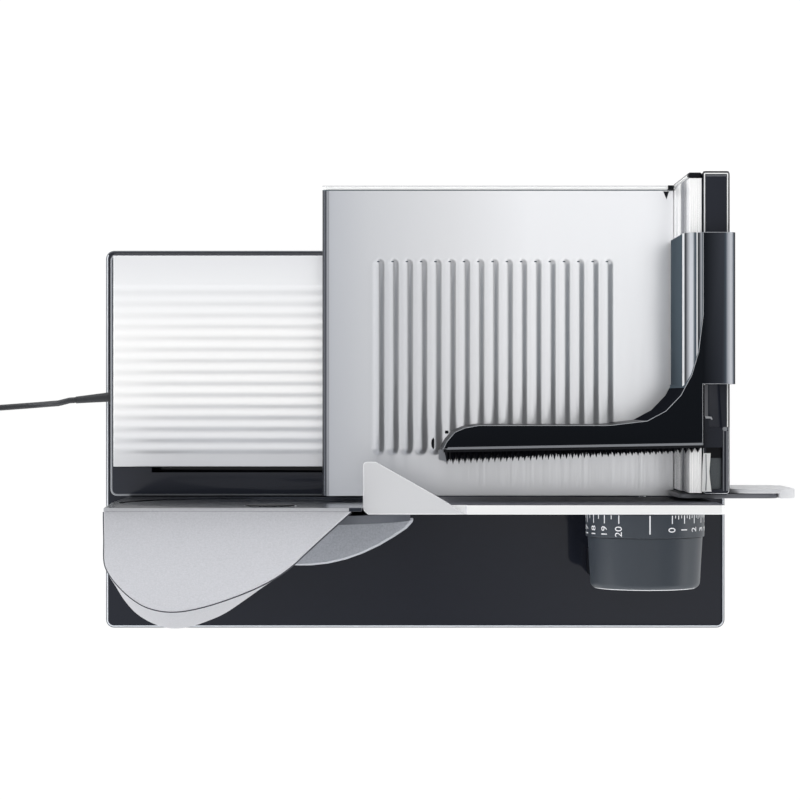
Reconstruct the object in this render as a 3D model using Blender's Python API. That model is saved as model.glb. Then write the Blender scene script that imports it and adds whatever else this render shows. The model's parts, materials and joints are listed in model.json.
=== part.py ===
# Electric food slicer with a sliding carriage, a round blade, a thickness dial and a mains cord.
# Plan frame while modelling: x = 0 and y = 0 at the blade axis and the cutting plane, z = 0 at the table.
# The empty called slicer then moves everything so that the origin is under the middle of the machine.
import math

import bmesh
import bpy
from mathutils import Vector

for thing in list(bpy.data.objects):
    bpy.data.objects.remove(thing, do_unlink=True)

mm = 0.001

# Fits shared by every piece
seat_gap = 0.3 * mm
run_gap = 0.5 * mm
overrun = 4 * mm
full_turn = 2 * math.pi
round_steps = 36
small_steps = 16
corner_steps = 5

# Glass base and feet
foot_height = 8 * mm
foot_radius = 9 * mm
foot_inset = 16 * mm
glass_length = 378.5 * mm
glass_depth = 230.6 * mm
glass_thick = 6 * mm
glass_corner = 5 * mm
glass_bevel = 1 * mm
glass_left = -105.8 * mm
glass_near = -80.2 * mm
glass_top = foot_height + seat_gap + glass_thick

# Raised base housing with the carriage slot
housing_wall = 2.5 * mm
housing_top = 34 * mm
housing_left = -101 * mm
housing_right = 256 * mm
housing_far = 147.6 * mm
housing_corner = 4 * mm
housing_bevel = 1.2 * mm

# Ribbed tray
tray_left = -99 * mm
tray_right = 238 * mm
tray_near = 18.9 * mm
tray_far = 146.3 * mm
tray_sheet = 0.8 * mm
tray_rib_count = 15
tray_rib_pitch = 6.88 * mm
tray_rib_width = 4.6 * mm
tray_rib_height = 1.1 * mm
tray_first_rib = 29.4 * mm
rib_steps = 6

# Carriage plate, wall and grip bar
plate_top = 70 * mm
plate_sheet = 1.2 * mm
plate_left = 28 * mm
plate_right = 236 * mm
plate_near = 2.3 * mm
plate_far = 186.1 * mm
plate_skirt = 14 * mm
left_roll = 4.3 * mm
far_roll = 2.4 * mm
plate_rib_count = 17
plate_rib_pitch = 8.46 * mm
plate_rib_width = 5.3 * mm
plate_rib_height = 1.5 * mm
plate_first_rib = 61.9 * mm
plate_rib_near = 26.5 * mm
plate_rib_far = 143.2 * mm
wall_top = 155 * mm
wall_thick = 7.7 * mm
wall_near = 6.7 * mm
wall_far = 187.2 * mm
wall_step_z = 119 * mm
wall_step = 0.8 * mm
wall_foot = 13.5 * mm
wall_foot_thick = 2.3 * mm
grip_width = 15.3 * mm
grip_near = 6 * mm
grip_far = 187.9 * mm
grip_top = 157 * mm
grip_round = 2 * mm
grip_wall = 2.6 * mm
grip_deck = 24 * mm
pocket_depth = 20 * mm
pocket_far = 43.9 * mm
pocket_side = 4.2 * mm
cap_thick = 3.1 * mm

# Guide rail, shoe and bracket under the carriage
rail_radius = 5 * mm
rail_y = 10 * mm
rail_z = 24 * mm
rail_socket = 1.5 * mm
shoe_left = 118 * mm
shoe_length = plate_right - wall_foot - run_gap - shoe_left
shoe_height = 13.6 * mm
shoe_depth = 11.2 * mm
web_thick = 2 * mm
web_foot = 6 * mm
slot_clear = 0.6 * mm
bracket_reach = 46 * mm
carriage_travel = 190 * mm
slot_end_clear = 4 * mm

# Thumb guard at the near end of the wall
guard_mount_left = 232.4 * mm
guard_mount_near = 3.4 * mm
guard_mount_thick = 2.6 * mm
guard_bottom = 70.6 * mm
guard_top = 150 * mm
guard_right = 298.9 * mm
guard_tip = 10.2 * mm
guard_sheet = 2.5 * mm
guard_round = 14 * mm

# Food holder
holder_play = 0.6 * mm
holder_skirt = 2.1 * mm
holder_skirt_x = plate_right + seat_gap - holder_play - holder_skirt
holder_skirt_bottom = 80 * mm
holder_side = 2 * mm
holder_right = plate_right + 2 * seat_gap + wall_thick + grip_width + holder_play + holder_side
holder_right_round = 7 * mm
holder_roof = 10.4 * mm
holder_top = grip_top + holder_play + holder_roof
holder_side_height = 30 * mm
holder_right_bottom = holder_top - holder_side_height
holder_near = 68 * mm
holder_length = 85 * mm
holder_far = holder_near + holder_length
holder_above_plate = 3 * mm
holder_bottom = plate_top + holder_above_plate
shoulder_width = 6.3 * mm
holder_strip_x = holder_skirt_x + shoulder_width
strip_width = 3.5 * mm
pad_left = holder_strip_x + strip_width
strip_drop = 3 * mm
holder_strip_z = holder_top - strip_drop
shoulder_height = 15.5 * mm
holder_shoulder_z = holder_strip_z - shoulder_height
arm_left = 97.5 * mm
arm_front_left = 31.6 * mm
arm_front_right = 34.2 * mm
arm_back = 45 * mm
fillet_reach_x = 52 * mm
fillet_reach_y = 62 * mm

# Spike plate
spike_sheet = 1.5 * mm
spike_inset = 1 * mm
spike_left = arm_left + spike_inset
spike_past_skirt = 0.9 * mm
spike_right = holder_skirt_x + spike_past_skirt
spike_long = 7.4 * mm
spike_short = 4.4 * mm
spike_base = 2.2 * mm
spike_pitch = 7.8 * mm
spike_rows = 7
spike_row_pitch = 12 * mm
spike_first_z = 82 * mm
spike_root = 0.6 * mm
spike_margin = 5 * mm

# Tower: front sheet and inner frame
tower_top = 222 * mm
blade_cover = 5 * mm
blade_lowest = 47 * mm
blade_radius = (tower_top - blade_cover - blade_lowest) / 2
blade_z = blade_lowest + blade_radius
tower_front = 0.8 * mm
tower_sheet = 2 * mm
tower_left_top = -86 * mm
tower_left = -90 * mm
tower_right_top = 53.4 * mm
tower_right = 55.3 * mm
blade_clear = 1 * mm
blade_opening = blade_radius + blade_clear
frame_pocket = -4.6 * mm
pocket_clear = 1.6 * mm
frame_pocket_radius = blade_radius + pocket_clear
frame_back = -9.3 * mm
frame_inset = 5 * mm
frame_radius = blade_radius - frame_inset
frame_right = 40 * mm
frame_foot_right = 53 * mm
bearing_boss = 14 * mm
bearing_boss_back = -13 * mm

# Gears
tooth_module = 1.25 * mm
blade_teeth = 36
idler_teeth = 20
pinion_teeth = 12
pressure_angle = math.radians(20)
tooth_height_share = 0.8
tooth_depth_share = 1.15
backlash = 0.3 * mm
gear_front = -14.5 * mm
gear_width = 5 * mm
idler_angle = math.radians(144.2)
pinion_angle = math.radians(218.6)
idler_axle_radius = 3.5 * mm
axle_overhang = 2 * mm
motor_shaft_radius = 2.5 * mm
motor_radius = 20 * mm
motor_front = -25 * mm
motor_back = -56 * mm
motor_neck = 8 * mm
motor_neck_long = 2 * mm
motor_post_radius = 3 * mm
motor_post_ring = 16 * mm
motor_post_angles = [math.radians(200), math.radians(280), math.radians(110)]

# Motor housing, cover and deflector
cover_left = tower_left_top
cover_past_gear = 25 * mm
cover_width = blade_teeth * tooth_module / 2 + cover_past_gear - cover_left
cover_reach = 56.8 * mm
belly_reach = 70.7 * mm
roof_step = 0.5 * mm
roof_top = tower_top - roof_step
roof_fall = 42 * mm
roof_power = 1.3
cover_thick = 3 * mm
ridge_drop = 37 * mm
ridge_z = tower_top - ridge_drop
belly_drop = 65 * mm
belly_z = ridge_z - belly_drop
shell_wall = 2.6 * mm
shell_centre_x = -35 * mm
deflector_left = -24.7 * mm
deflector_below_axis = 29 * mm
deflector_top = blade_z - deflector_below_axis
deflector_height = 65 * mm
deflector_bottom = deflector_top - deflector_height
deflector_front = -9.6 * mm
deflector_reach = 27.6 * mm
deflector_edge = 2.6 * mm
deflector_clear = blade_radius + deflector_edge
deflector_tip = 5.1 * mm
deflector_length = deflector_clear - deflector_tip - deflector_left

# Blade, lock, shaft and bush
blade_hollow = 1.3 * mm
blade_back = 3 * mm
blade_bevel = 13 * mm
blade_flat_radius = blade_radius - blade_bevel
blade_edge_land = 0.25 * mm
blade_hole = 4.3 * mm
lock_radius = 14 * mm
lock_recess = 2.2 * mm
lock_face = 0.6 * mm
lock_slot_width = 3 * mm
lock_slot_depth = 0.9 * mm
shaft_radius = 6 * mm
shaft_flange_thick = 1 * mm
shaft_spigot = 4 * mm
shaft_end = 26 * mm
bush_radius = 10.5 * mm
bush_fit = 0.35 * mm

# Stop plate, finger guard and bracket
stop_front = 1.8 * mm
stop_thick = 5.3 * mm
stop_right = 252 * mm
stop_bottom = 66 * mm
stop_drop = 18.5 * mm
stop_top = tower_top - stop_drop
stop_arc_clear = 4.5 * mm
stop_arc = blade_radius + stop_arc_clear
stop_corner = 2 * mm
finger_thick = 2.9 * mm
finger_left = 53.9 * mm
finger_far = 25.3 * mm
finger_point = 60.8 * mm
finger_end_x = 99 * mm
finger_end_y = 3.7 * mm
finger_seat_end = 110 * mm
finger_round = 2.5 * mm
bracket_thick = 2.7 * mm
bracket_half = 31 * mm
bracket_bottom = 25 * mm
bracket_top = 116 * mm

# Dial, cam drum and its fixed follower
dial_x = 217.9 * mm
dial_z = 85 * mm
scale_radius = 34.7 * mm
scale_wall = 3.4 * mm
scale_back = -7.3 * mm
scale_front = -20.7 * mm
grip_back_radius = 33.6 * mm
grip_front_radius = 32.1 * mm
knob_front = -51.2 * mm
knob_round = 4 * mm
knob_wall = 2.5 * mm
sleeve_wall = 2.6 * mm
drum_radius = 18 * mm
drum_back = -10 * mm
spindle_radius = 4.5 * mm
spindle_end = -43.6 * mm
screw_radius = 7 * mm
screw_head = 3 * mm
groove_radius = 2.2 * mm
groove_depth = 0.3 * mm
stop_travel = 21.8 * mm
dial_range = math.radians(334)
follower_y = -37 * mm
follower_rod = 2.6 * mm
follower_ring = 24.5 * mm
follower_pin = 1.6 * mm
follower_reach = 16.6 * mm
post_near = 3 * mm
post_deep = 9 * mm
post_half = 6 * mm
post_top = 65.4 * mm
post_bore = 6 * mm

# Guide rods, bushes and pedestal below the dial
rod_radius = 4 * mm
rod_spread = 20 * mm
rod_z = 34 * mm
rod_end = -52 * mm
bush_wall = 2 * mm
pedestal_half = 30 * mm
pedestal_back = -30.4 * mm
pedestal_front = -46 * mm
pedestal_top = 46.5 * mm
pedestal_round = 3 * mm

# Switch in the right end of the base
switch_y = 42 * mm
switch_half_y = 12 * mm
switch_half_z = 6.4 * mm
switch_z = 24.3 * mm
switch_bezel = 2 * mm
switch_bezel_thick = 1.3 * mm
switch_wall = 1.6 * mm
switch_deep = 16 * mm
button_proud = 3.4 * mm
button_long = 10 * mm
button_round = 1 * mm

# Mains cord
cord_diameter = 3.6 * mm
cord_y = 60.9 * mm
cord_z = 24 * mm
relief_long = 22 * mm
relief_root = 2.9 * mm
relief_tip = 2.1 * mm
relief_collar = 4.4 * mm
relief_collar_thick = 1.5 * mm
table_clear = 0.05 * mm
coil_x = -205 * mm
coil_y = 28.4 * mm
coil_inner = 16.4 * mm
coil_outer = 25 * mm
coil_layers = 4
coil_turns = 8.25
coil_layer_step = 4.15 * mm
coil_loop_points = 24
tail_long = 24 * mm
plug_long = 36 * mm
plug_width = 34 * mm
plug_neck_width = 14 * mm
plug_thick = 13.6 * mm
plug_collar = 4.2 * mm
plug_collar_long = 9 * mm
pin_radius = 2 * mm
pin_long = 19 * mm
pin_spread = 9.3 * mm

# Outlines as shares of the cover width and reach, from the left front corner round to the right one
ridge_shares = [
    (0, 0), (-0.004, 0.255), (-0.01, 0.5), (0.01, 0.635), (0.045, 0.755), (0.09, 0.865),
    (0.142, 0.948), (0.206, 0.993), (0.27, 1), (0.337, 0.977), (0.405, 0.935), (0.479, 0.877),
    (0.562, 0.8), (0.64, 0.713), (0.708, 0.616), (0.768, 0.505), (0.801, 0.43), (0.876, 0.264),
    (0.944, 0.118), (1, 0),
]
belly_shares = [
    (-0.03, 0), (-0.04, 0.205), (-0.056, 0.403), (-0.054, 0.545), (-0.025, 0.644), (0.014, 0.769),
    (0.067, 0.881), (0.139, 0.963), (0.213, 1), (0.288, 0.99), (0.36, 0.948), (0.442, 0.881),
    (0.528, 0.774), (0.61, 0.663), (0.685, 0.566), (0.746, 0.468), (0.794, 0.379), (0.869, 0.245),
    (0.94, 0.113), (1, 0),
]
# Height share from the table to the belly or from the belly to the ridge, belly share, inward scale
belly_level_shares = [(0, 1, 0.8), (0.15, 1, 0.82), (0.43, 1, 0.9), (0.72, 1, 0.97), (1, 1, 1)]
upper_level_shares = [(0.5, 0.62, 1), (1, 0, 1), (1.62, 0, 1)]
# Deflector plan from the hidden left end round the outer side to the tip
deflector_shares = [
    (0, 0.85), (0.14, 0.92), (0.25, 0.975), (0.376, 1), (0.441, 0.996), (0.534, 0.957), (0.627, 0.873),
    (0.719, 0.746), (0.812, 0.576), (0.893, 0.388), (0.959, 0.217), (1, 0.04), (1, 0),
]
# Height share from bottom to top and inward scale of the deflector
deflector_level_shares = [
    (0, 0.42), (0.2, 0.62), (0.42, 0.79), (0.64, 0.92), (0.82, 0.98), (0.95, 1), (1, 0.96),
]
# Across and up the holder's shoulder, from a little outside the skirt to the strip
shoulder_shares = [(-0.06, -0.42), (0.06, 0.42), (0.3, 0.78), (1, 1)]
fillet_shares = [(0, 1), (0.05, 0.66), (0.12, 0.46), (0.24, 0.27), (0.4, 0.13), (0.6, 0.04), (1, 0)]
arm_end_shares = [(0.34, 1), (0.14, 0.72), (0.03, 0.3), (0, 0)]


# Colours are hex values of the finished surface
def linear(channel):
    return channel / 12.92 if channel <= 0.04045 else ((channel + 0.055) / 1.055) ** 2.4


def paint(name, colour, roughness, metallic):
    material = bpy.data.materials.new(name)
    material.use_nodes = True
    shader = material.node_tree.nodes["Principled BSDF"]
    channels = [linear(int(colour[start:start + 2], 16) / 255) for start in range(0, 6, 2)]
    shader.inputs["Base Color"].default_value = (*channels, 1)
    shader.inputs["Roughness"].default_value = roughness
    shader.inputs["Metallic"].default_value = metallic
    material.diffuse_color = (*channels, 1)
    return material


dark_glass = paint("dark_glass", "24272f", 0.08, 0)
black_gloss = paint("black_gloss", "1c1f26", 0.2, 0)
black_satin = paint("black_satin", "1b1e26", 0.4, 0)
rubber = paint("rubber", "17181b", 0.8, 0)
brushed_steel = paint("brushed_steel", "dcdde1", 0.32, 1)
bright_steel = paint("bright_steel", "e4e5e9", 0.15, 1)
aluminium = paint("aluminium", "d8d8e0", 0.3, 1)
silver_paint = paint("silver_paint", "c4c5ca", 0.55, 0.2)
guard_grey = paint("guard_grey", "c8cad0", 0.45, 0.1)
dial_grey = paint("dial_grey", "3a3d45", 0.45, 0)
gear_plastic = paint("gear_plastic", "e6e1d2", 0.5, 0)
bronze = paint("bronze", "b08d57", 0.4, 1)
motor_steel = paint("motor_steel", "8f9296", 0.45, 1)
cord_black = paint("cord_black", "22252b", 0.5, 0)


# Middle of the machine without its cord, which becomes the origin
machine_middle = Vector((
    (glass_left + guard_right) / 2,
    (glass_near + grip_far) / 2,
    0,
))
slicer = bpy.data.objects.new("slicer", None)
bpy.context.collection.objects.link(slicer)
slicer.location = -machine_middle


def moving_body(name, pivot, carrier):
    empty = bpy.data.objects.new(name, None)
    bpy.context.collection.objects.link(empty)
    empty.parent = carrier[0]
    empty.location = Vector(pivot) - carrier[1]
    return empty, Vector(pivot)


gear_pitch = {teeth: teeth * tooth_module / 2 for teeth in (blade_teeth, idler_teeth, pinion_teeth)}
idler_reach = gear_pitch[blade_teeth] + gear_pitch[idler_teeth]
pinion_reach = gear_pitch[idler_teeth] + gear_pitch[pinion_teeth]
idler_x = idler_reach * math.cos(idler_angle)
idler_z = blade_z + idler_reach * math.sin(idler_angle)
motor_x = idler_x + pinion_reach * math.cos(pinion_angle)
motor_z = idler_z + pinion_reach * math.sin(pinion_angle)

fixed = (slicer, Vector((0, 0, 0)))
carriage = moving_body("carriage_body", (shoe_left + shoe_length / 2, rail_y, rail_z), fixed)
holder = moving_body("holder_body", (plate_right + wall_thick, holder_near, wall_top), carriage)
stop = moving_body("stop_body", (dial_x, 0, rod_z), fixed)
dial = moving_body("dial_body", (dial_x, scale_back, dial_z), stop)
cutter = moving_body("blade_body", (0, 0, blade_z), fixed)
lock = moving_body("lock_body", (0, 0, blade_z), cutter)
idler = moving_body("idler_body", (idler_x, gear_front, idler_z), fixed)
rotor = moving_body("rotor_body", (motor_x, gear_front, motor_z), fixed)
button = moving_body("button_body", (housing_right, switch_y, switch_z), fixed)


# Turning shapes into objects
def make(name, shape, material, body=fixed, smooth=True):
    bmesh.ops.recalc_face_normals(shape, faces=shape.faces)
    for vert in shape.verts:
        vert.co -= body[1]
    mesh = bpy.data.meshes.new(name)
    shape.to_mesh(mesh)
    shape.free()
    piece = bpy.data.objects.new(name, mesh)
    bpy.context.collection.objects.link(piece)
    piece.parent = body[0]
    if material:
        mesh.materials.append(material)
    if smooth:
        mesh.shade_smooth()
        mesh.set_sharp_from_angle(angle=math.radians(35))
    return piece


def join_or_cut(piece, shape, body=fixed, operation="DIFFERENCE"):
    tool = make(piece.name + "_tool", shape, None, body, False)
    tool.hide_render = True
    tool.display_type = "WIRE"
    change = piece.modifiers.new(operation.lower(), "BOOLEAN")
    change.operation = operation
    change.solver = "EXACT"
    change.object = tool
    return tool


def soften(piece, width, segments=2, limit=math.radians(50)):
    bevel = piece.modifiers.new("soften", "BEVEL")
    bevel.width = width
    bevel.segments = segments
    bevel.limit_method = "ANGLE"
    bevel.angle_limit = limit


# Basic forms, all in the plan frame
def add_prism(shape, outline, axis, low, high):
    spots = {
        "X": lambda a, b, depth: (depth, a, b),
        "Y": lambda a, b, depth: (a, depth, b),
        "Z": lambda a, b, depth: (a, b, depth),
    }[axis]
    start = [shape.verts.new(spots(a, b, low)) for a, b in outline]
    end = [shape.verts.new(spots(a, b, high)) for a, b in outline]
    shape.faces.new(start)
    shape.faces.new(end)
    for index in range(len(outline)):
        after = (index + 1) % len(outline)
        shape.faces.new((start[index], start[after], end[after], end[index]))
    return shape


def prism(outline, axis, low, high):
    return add_prism(bmesh.new(), outline, axis, low, high)


def block(x_low, x_high, y_low, y_high, z_low, z_high):
    outline = [(x_low, y_low), (x_high, y_low), (x_high, y_high), (x_low, y_high)]
    return prism(outline, "Z", z_low, z_high)


def arc(centre_a, centre_b, radius, start, end, steps):
    return [
        (
            centre_a + radius * math.cos(start + (end - start) * step / steps),
            centre_b + radius * math.sin(start + (end - start) * step / steps),
        )
        for step in range(steps + 1)
    ]


def rounded_box(a_low, a_high, b_low, b_high, radius, steps=corner_steps):
    quarter = full_turn / 4
    corners = [
        (a_high - radius, b_high - radius, 0), (a_low + radius, b_high - radius, quarter),
        (a_low + radius, b_low + radius, 2 * quarter), (a_high - radius, b_low + radius, 3 * quarter),
    ]
    outline = []
    for centre_a, centre_b, start in corners:
        outline += arc(centre_a, centre_b, radius, start, start + quarter, steps)
    return outline


def turned(chain, x, z, closed, steps=round_steps):
    shape = bmesh.new()
    verts = [shape.verts.new((x + radius, depth, z)) for radius, depth in chain]
    edges = [shape.edges.new(pair) for pair in zip(verts, verts[1:])]
    if closed:
        edges.append(shape.edges.new((verts[-1], verts[0])))
    bmesh.ops.spin(
        shape, geom=verts + edges, cent=(x, 0, z), axis=(0, 1, 0), angle=full_turn, steps=steps,
        use_merge=True,
    )
    bmesh.ops.remove_doubles(shape, verts=shape.verts, dist=seat_gap / 1000)
    return shape


def rod(radius, x, z, y_low, y_high, steps=small_steps):
    return turned([(0, y_high), (radius, y_high), (radius, y_low), (0, y_low)], x, z, False, steps)


def ring(inner, outer, x, z, y_low, y_high, steps=round_steps):
    chain = [(inner, y_high), (outer, y_high), (outer, y_low), (inner, y_low)]
    return turned(chain, x, z, True, steps)


def sweep(route, radius, sides):
    shape = bmesh.new()
    rings = []
    side = None
    for index, spot in enumerate(route):
        ahead = route[min(index + 1, len(route) - 1)] - route[max(index - 1, 0)]
        ahead.normalize()
        if side is None:
            side = ahead.orthogonal().normalized()
        side = (side - ahead * side.dot(ahead)).normalized()
        other = ahead.cross(side)
        turn = [full_turn * step / sides for step in range(sides)]
        rings.append([
            shape.verts.new(spot + side * radius * math.cos(a) + other * radius * math.sin(a))
            for a in turn
        ])
    shape.faces.new(rings[0])
    shape.faces.new(rings[-1])
    for near, far in zip(rings, rings[1:]):
        for index in range(sides):
            after = (index + 1) % sides
            shape.faces.new((near[index], near[after], far[after], far[index]))
    return shape


def loft(levels):
    shape = bmesh.new()
    rings = [[shape.verts.new(spot) for spot in level] for level in levels]
    shape.faces.new(rings[0])
    shape.faces.new(rings[-1])
    for low, high in zip(rings, rings[1:]):
        for index in range(len(low)):
            after = (index + 1) % len(low)
            shape.faces.new((low[index], low[after], high[after], high[index]))
    return shape


def joined(*shapes):
    whole = bmesh.new()
    for shape in shapes:
        mesh = bpy.data.meshes.new("joined")
        shape.to_mesh(mesh)
        shape.free()
        whole.from_mesh(mesh)
        bpy.data.meshes.remove(mesh)
    return whole


# Glass base on four rubber feet
def build_base():
    right = glass_left + glass_length
    far = glass_near + glass_depth
    outline = rounded_box(glass_left, right, glass_near, far, glass_corner)
    glass = make("glass_plate", prism(outline, "Z", foot_height + seat_gap, glass_top), dark_glass)
    soften(glass, glass_bevel)
    spots = [
        (x, y)
        for x in (glass_left + foot_inset, right - foot_inset)
        for y in (glass_near + foot_inset, far - foot_inset)
    ]
    for number, (x, y) in enumerate(spots, 1):
        disc = arc(x, y, foot_radius, 0, full_turn, small_steps)[:-1]
        foot = make(f"foot_{number}", prism(disc, "Z", 0, foot_height), rubber)
        soften(foot, glass_bevel)


# Raised housing on the glass, open below, with the slot that the carriage web runs in
slot_near = rail_y + shoe_depth / 2 + seat_gap - slot_clear
slot_far = slot_near + web_thick + 2 * slot_clear
web_near = slot_near + slot_clear
housing_near = tower_front + seat_gap


def build_base_housing():
    low = glass_top + seat_gap
    outline = rounded_box(housing_left, housing_right, housing_near, housing_far, housing_corner)
    housing = make("base_housing", prism(outline, "Z", low, housing_top), black_gloss)
    soften(housing, housing_bevel)
    inside = rounded_box(
        housing_left + housing_wall, housing_right - housing_wall, housing_near + housing_wall,
        housing_far - housing_wall, housing_corner - housing_wall / 2,
    )
    join_or_cut(housing, prism(inside, "Z", low - overrun, housing_top - housing_wall))
    slot_left = shoe_left - carriage_travel - slot_end_clear
    slot_right = shoe_left + shoe_length + slot_end_clear
    window = joined(
        block(
            slot_left, slot_right, slot_near, slot_far, housing_top - 2 * housing_wall,
            housing_top + overrun,
        ),
        block(
            housing_right - 2 * housing_wall, housing_right + overrun, switch_y - switch_half_y,
            switch_y + switch_half_y, switch_z - switch_half_z, switch_z + switch_half_z,
        ),
        prism(
            arc(cord_y, cord_z, relief_root + seat_gap, 0, full_turn, small_steps)[:-1], "X",
            housing_left - overrun, housing_left + 2 * housing_wall,
        ),
        prism(
            arc(rail_y, rail_z, rail_radius + seat_gap, 0, full_turn, small_steps)[:-1], "X",
            housing_left + housing_wall - rail_socket, housing_right - housing_wall + rail_socket,
        ),
    )
    join_or_cut(housing, window)
    rail = arc(rail_y, rail_z, rail_radius, 0, full_turn, small_steps)[:-1]
    rail_left = housing_left + housing_wall - rail_socket + seat_gap
    rail_right = housing_right - housing_wall + rail_socket - seat_gap
    make("guide_rail", prism(rail, "X", rail_left, rail_right), bright_steel)


# Steel tray with pressed ribs along the machine
def build_tray():
    low = housing_top + seat_gap
    heights = [(tray_near, 0)]
    for number in range(tray_rib_count):
        middle = tray_first_rib + number * tray_rib_pitch
        for step in range(rib_steps + 1):
            share = step / rib_steps
            rise = tray_rib_height * (1 - math.cos(full_turn * share)) / 2
            heights.append((middle + (share - 1 / 2) * tray_rib_width, rise))
    heights.append((tray_far, 0))
    top = [(y, low + tray_sheet + rise) for y, rise in heights]
    under = [(y, low + rise) for y, rise in reversed(heights)]
    make("ribbed_tray", prism(top + under, "X", tray_left, tray_right), brushed_steel)


# Carriage plate, wall, grip and what carries them on the rail
def build_carriage():
    low = plate_top - plate_skirt
    profile = [(plate_left, low), (plate_right, low), (plate_right, plate_top)]
    profile += arc(
        plate_left + left_roll, plate_top - left_roll, left_roll, full_turn / 4, full_turn / 2, corner_steps)
    outer = prism(profile, "Y", plate_near, plate_far)
    plate = make("carriage_plate", outer, brushed_steel, carriage)
    far_profile = [(plate_near - overrun, low - overrun), (plate_far, low - overrun)]
    far_profile += arc(plate_far - far_roll, plate_top - far_roll, far_roll, 0, full_turn / 4, corner_steps)
    far_profile += [(plate_near - overrun, plate_top)]
    keep = prism(far_profile, "X", plate_left - overrun, plate_right + overrun)
    join_or_cut(plate, keep, carriage, "INTERSECT")
    inner_roll = left_roll - plate_sheet
    hollow = [
        (plate_left + plate_sheet, low - overrun), (plate_right + overrun, low - overrun),
        (plate_right + overrun, plate_top - plate_sheet),
    ]
    hollow += arc(
        plate_left + left_roll, plate_top - left_roll, inner_roll, full_turn / 4, full_turn / 2, corner_steps)
    join_or_cut(plate, prism(hollow, "Y", plate_near - overrun, plate_far - plate_sheet), carriage)
    ribs = []
    for number in range(plate_rib_count):
        middle = plate_first_rib + number * plate_rib_pitch
        ribs.append(pressed_rib(middle))
    join_or_cut(plate, joined(*ribs), carriage, "UNION")

    left = plate_right + seat_gap
    right = left + wall_thick
    foot_z = plate_top - plate_sheet - seat_gap
    wall_bottom = foot_z - wall_foot_thick
    profile = [
        (left - wall_foot, wall_bottom), (right, wall_bottom), (right, wall_top),
        (left + wall_step, wall_top), (left + wall_step, wall_step_z + wall_step), (left, wall_step_z),
        (left, foot_z), (left - wall_foot, foot_z),
    ]
    make("carriage_wall", prism(profile, "Y", wall_near, wall_far - cap_thick), aluminium, carriage)

    cap_near = wall_far - cap_thick + seat_gap
    cap_shape = block(left, right, cap_near, wall_far, wall_bottom, wall_top + plate_sheet)
    cap = make("wall_end_cap", cap_shape, black_satin, carriage)
    soften(cap, glass_bevel)

    bar_left = right + seat_gap
    bar_right = bar_left + grip_width
    outline = rounded_box(bar_left, bar_right, grip_near, grip_far, grip_round)
    bar = make("carriage_grip", prism(outline, "Z", wall_bottom, grip_top), black_satin, carriage)
    hollow = joined(
        block(
            bar_left + grip_wall, bar_right - grip_wall, grip_near + grip_wall, grip_far - grip_wall,
            wall_bottom - overrun, grip_top - grip_deck,
        ),
        prism(
            rounded_box(
                bar_left + grip_round, bar_right - pocket_side, grip_near + grip_wall, pocket_far, grip_round),
            "Z", grip_top - pocket_depth, grip_top + overrun,
        ),
    )
    join_or_cut(bar, hollow, carriage)

    web = [
        (web_near, rail_z - web_foot), (web_near + web_thick, rail_z - web_foot),
        (web_near + web_thick, foot_z - web_thick), (web_near + bracket_reach, foot_z - web_thick),
        (web_near + bracket_reach, foot_z), (web_near, foot_z),
    ]
    bracket_right = shoe_left + shoe_length - seat_gap
    make("carriage_bracket", prism(web, "X", shoe_left, bracket_right), aluminium, carriage)
    half_depth = shoe_depth / 2
    half_height = shoe_height / 2
    shoe_outline = [
        (rail_y - half_depth, rail_z - half_height), (rail_y + half_depth, rail_z - half_height),
        (rail_y + half_depth, rail_z + half_height), (rail_y - half_depth, rail_z + half_height),
    ]
    shoe = make("slide_shoe", prism(shoe_outline, "X", shoe_left, bracket_right), gear_plastic, carriage)
    bore = arc(rail_y, rail_z, rail_radius + bush_fit, 0, full_turn, small_steps)[:-1]
    join_or_cut(shoe, prism(bore, "X", shoe_left - overrun, bracket_right + overrun), carriage)


# One raised rib along the plate: a low rounded ridge with round ends, sunk a little into the sheet
def pressed_rib(middle):
    shape = bmesh.new()
    bmesh.ops.create_uvsphere(shape, u_segments=12, v_segments=8, radius=1)
    half = plate_rib_width / 2
    near = plate_rib_near + half
    far = plate_rib_far - half
    for vert in shape.verts:
        end = far if vert.co.y > seat_gap else near
        vert.co = Vector((
            middle + vert.co.x * half,
            end + vert.co.y * half,
            plate_top - plate_sheet / 4 + vert.co.z * plate_rib_height,
        ))
    below = [vert for vert in shape.verts if vert.co.z < plate_top - plate_sheet / 2]
    for vert in below:
        vert.co.z = plate_top - plate_sheet / 2
    return shape


# Thumb guard and its dark mount
def build_thumb_guard():
    near = guard_mount_near
    mount_right = guard_right - guard_tip - seat_gap
    outline = rounded_box(guard_mount_left, mount_right, guard_bottom, guard_top - guard_sheet, guard_round / 2)
    mount = prism(outline, "Y", near, near + guard_mount_thick)
    make("thumb_guard_mount", mount, black_satin, carriage)
    left = plate_right + wall_thick + grip_width + 3 * seat_gap
    sheet_near = near + guard_mount_thick + seat_gap
    outline = rounded_box(left, guard_right, guard_bottom, guard_top, guard_round)
    guard = make("thumb_guard", prism(outline, "Y", near, sheet_near + guard_sheet), guard_grey, carriage)
    room = block(
        left - overrun, guard_right - guard_tip, near - overrun, sheet_near, guard_bottom - overrun,
        guard_top + overrun,
    )
    join_or_cut(guard, room, carriage)


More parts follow.
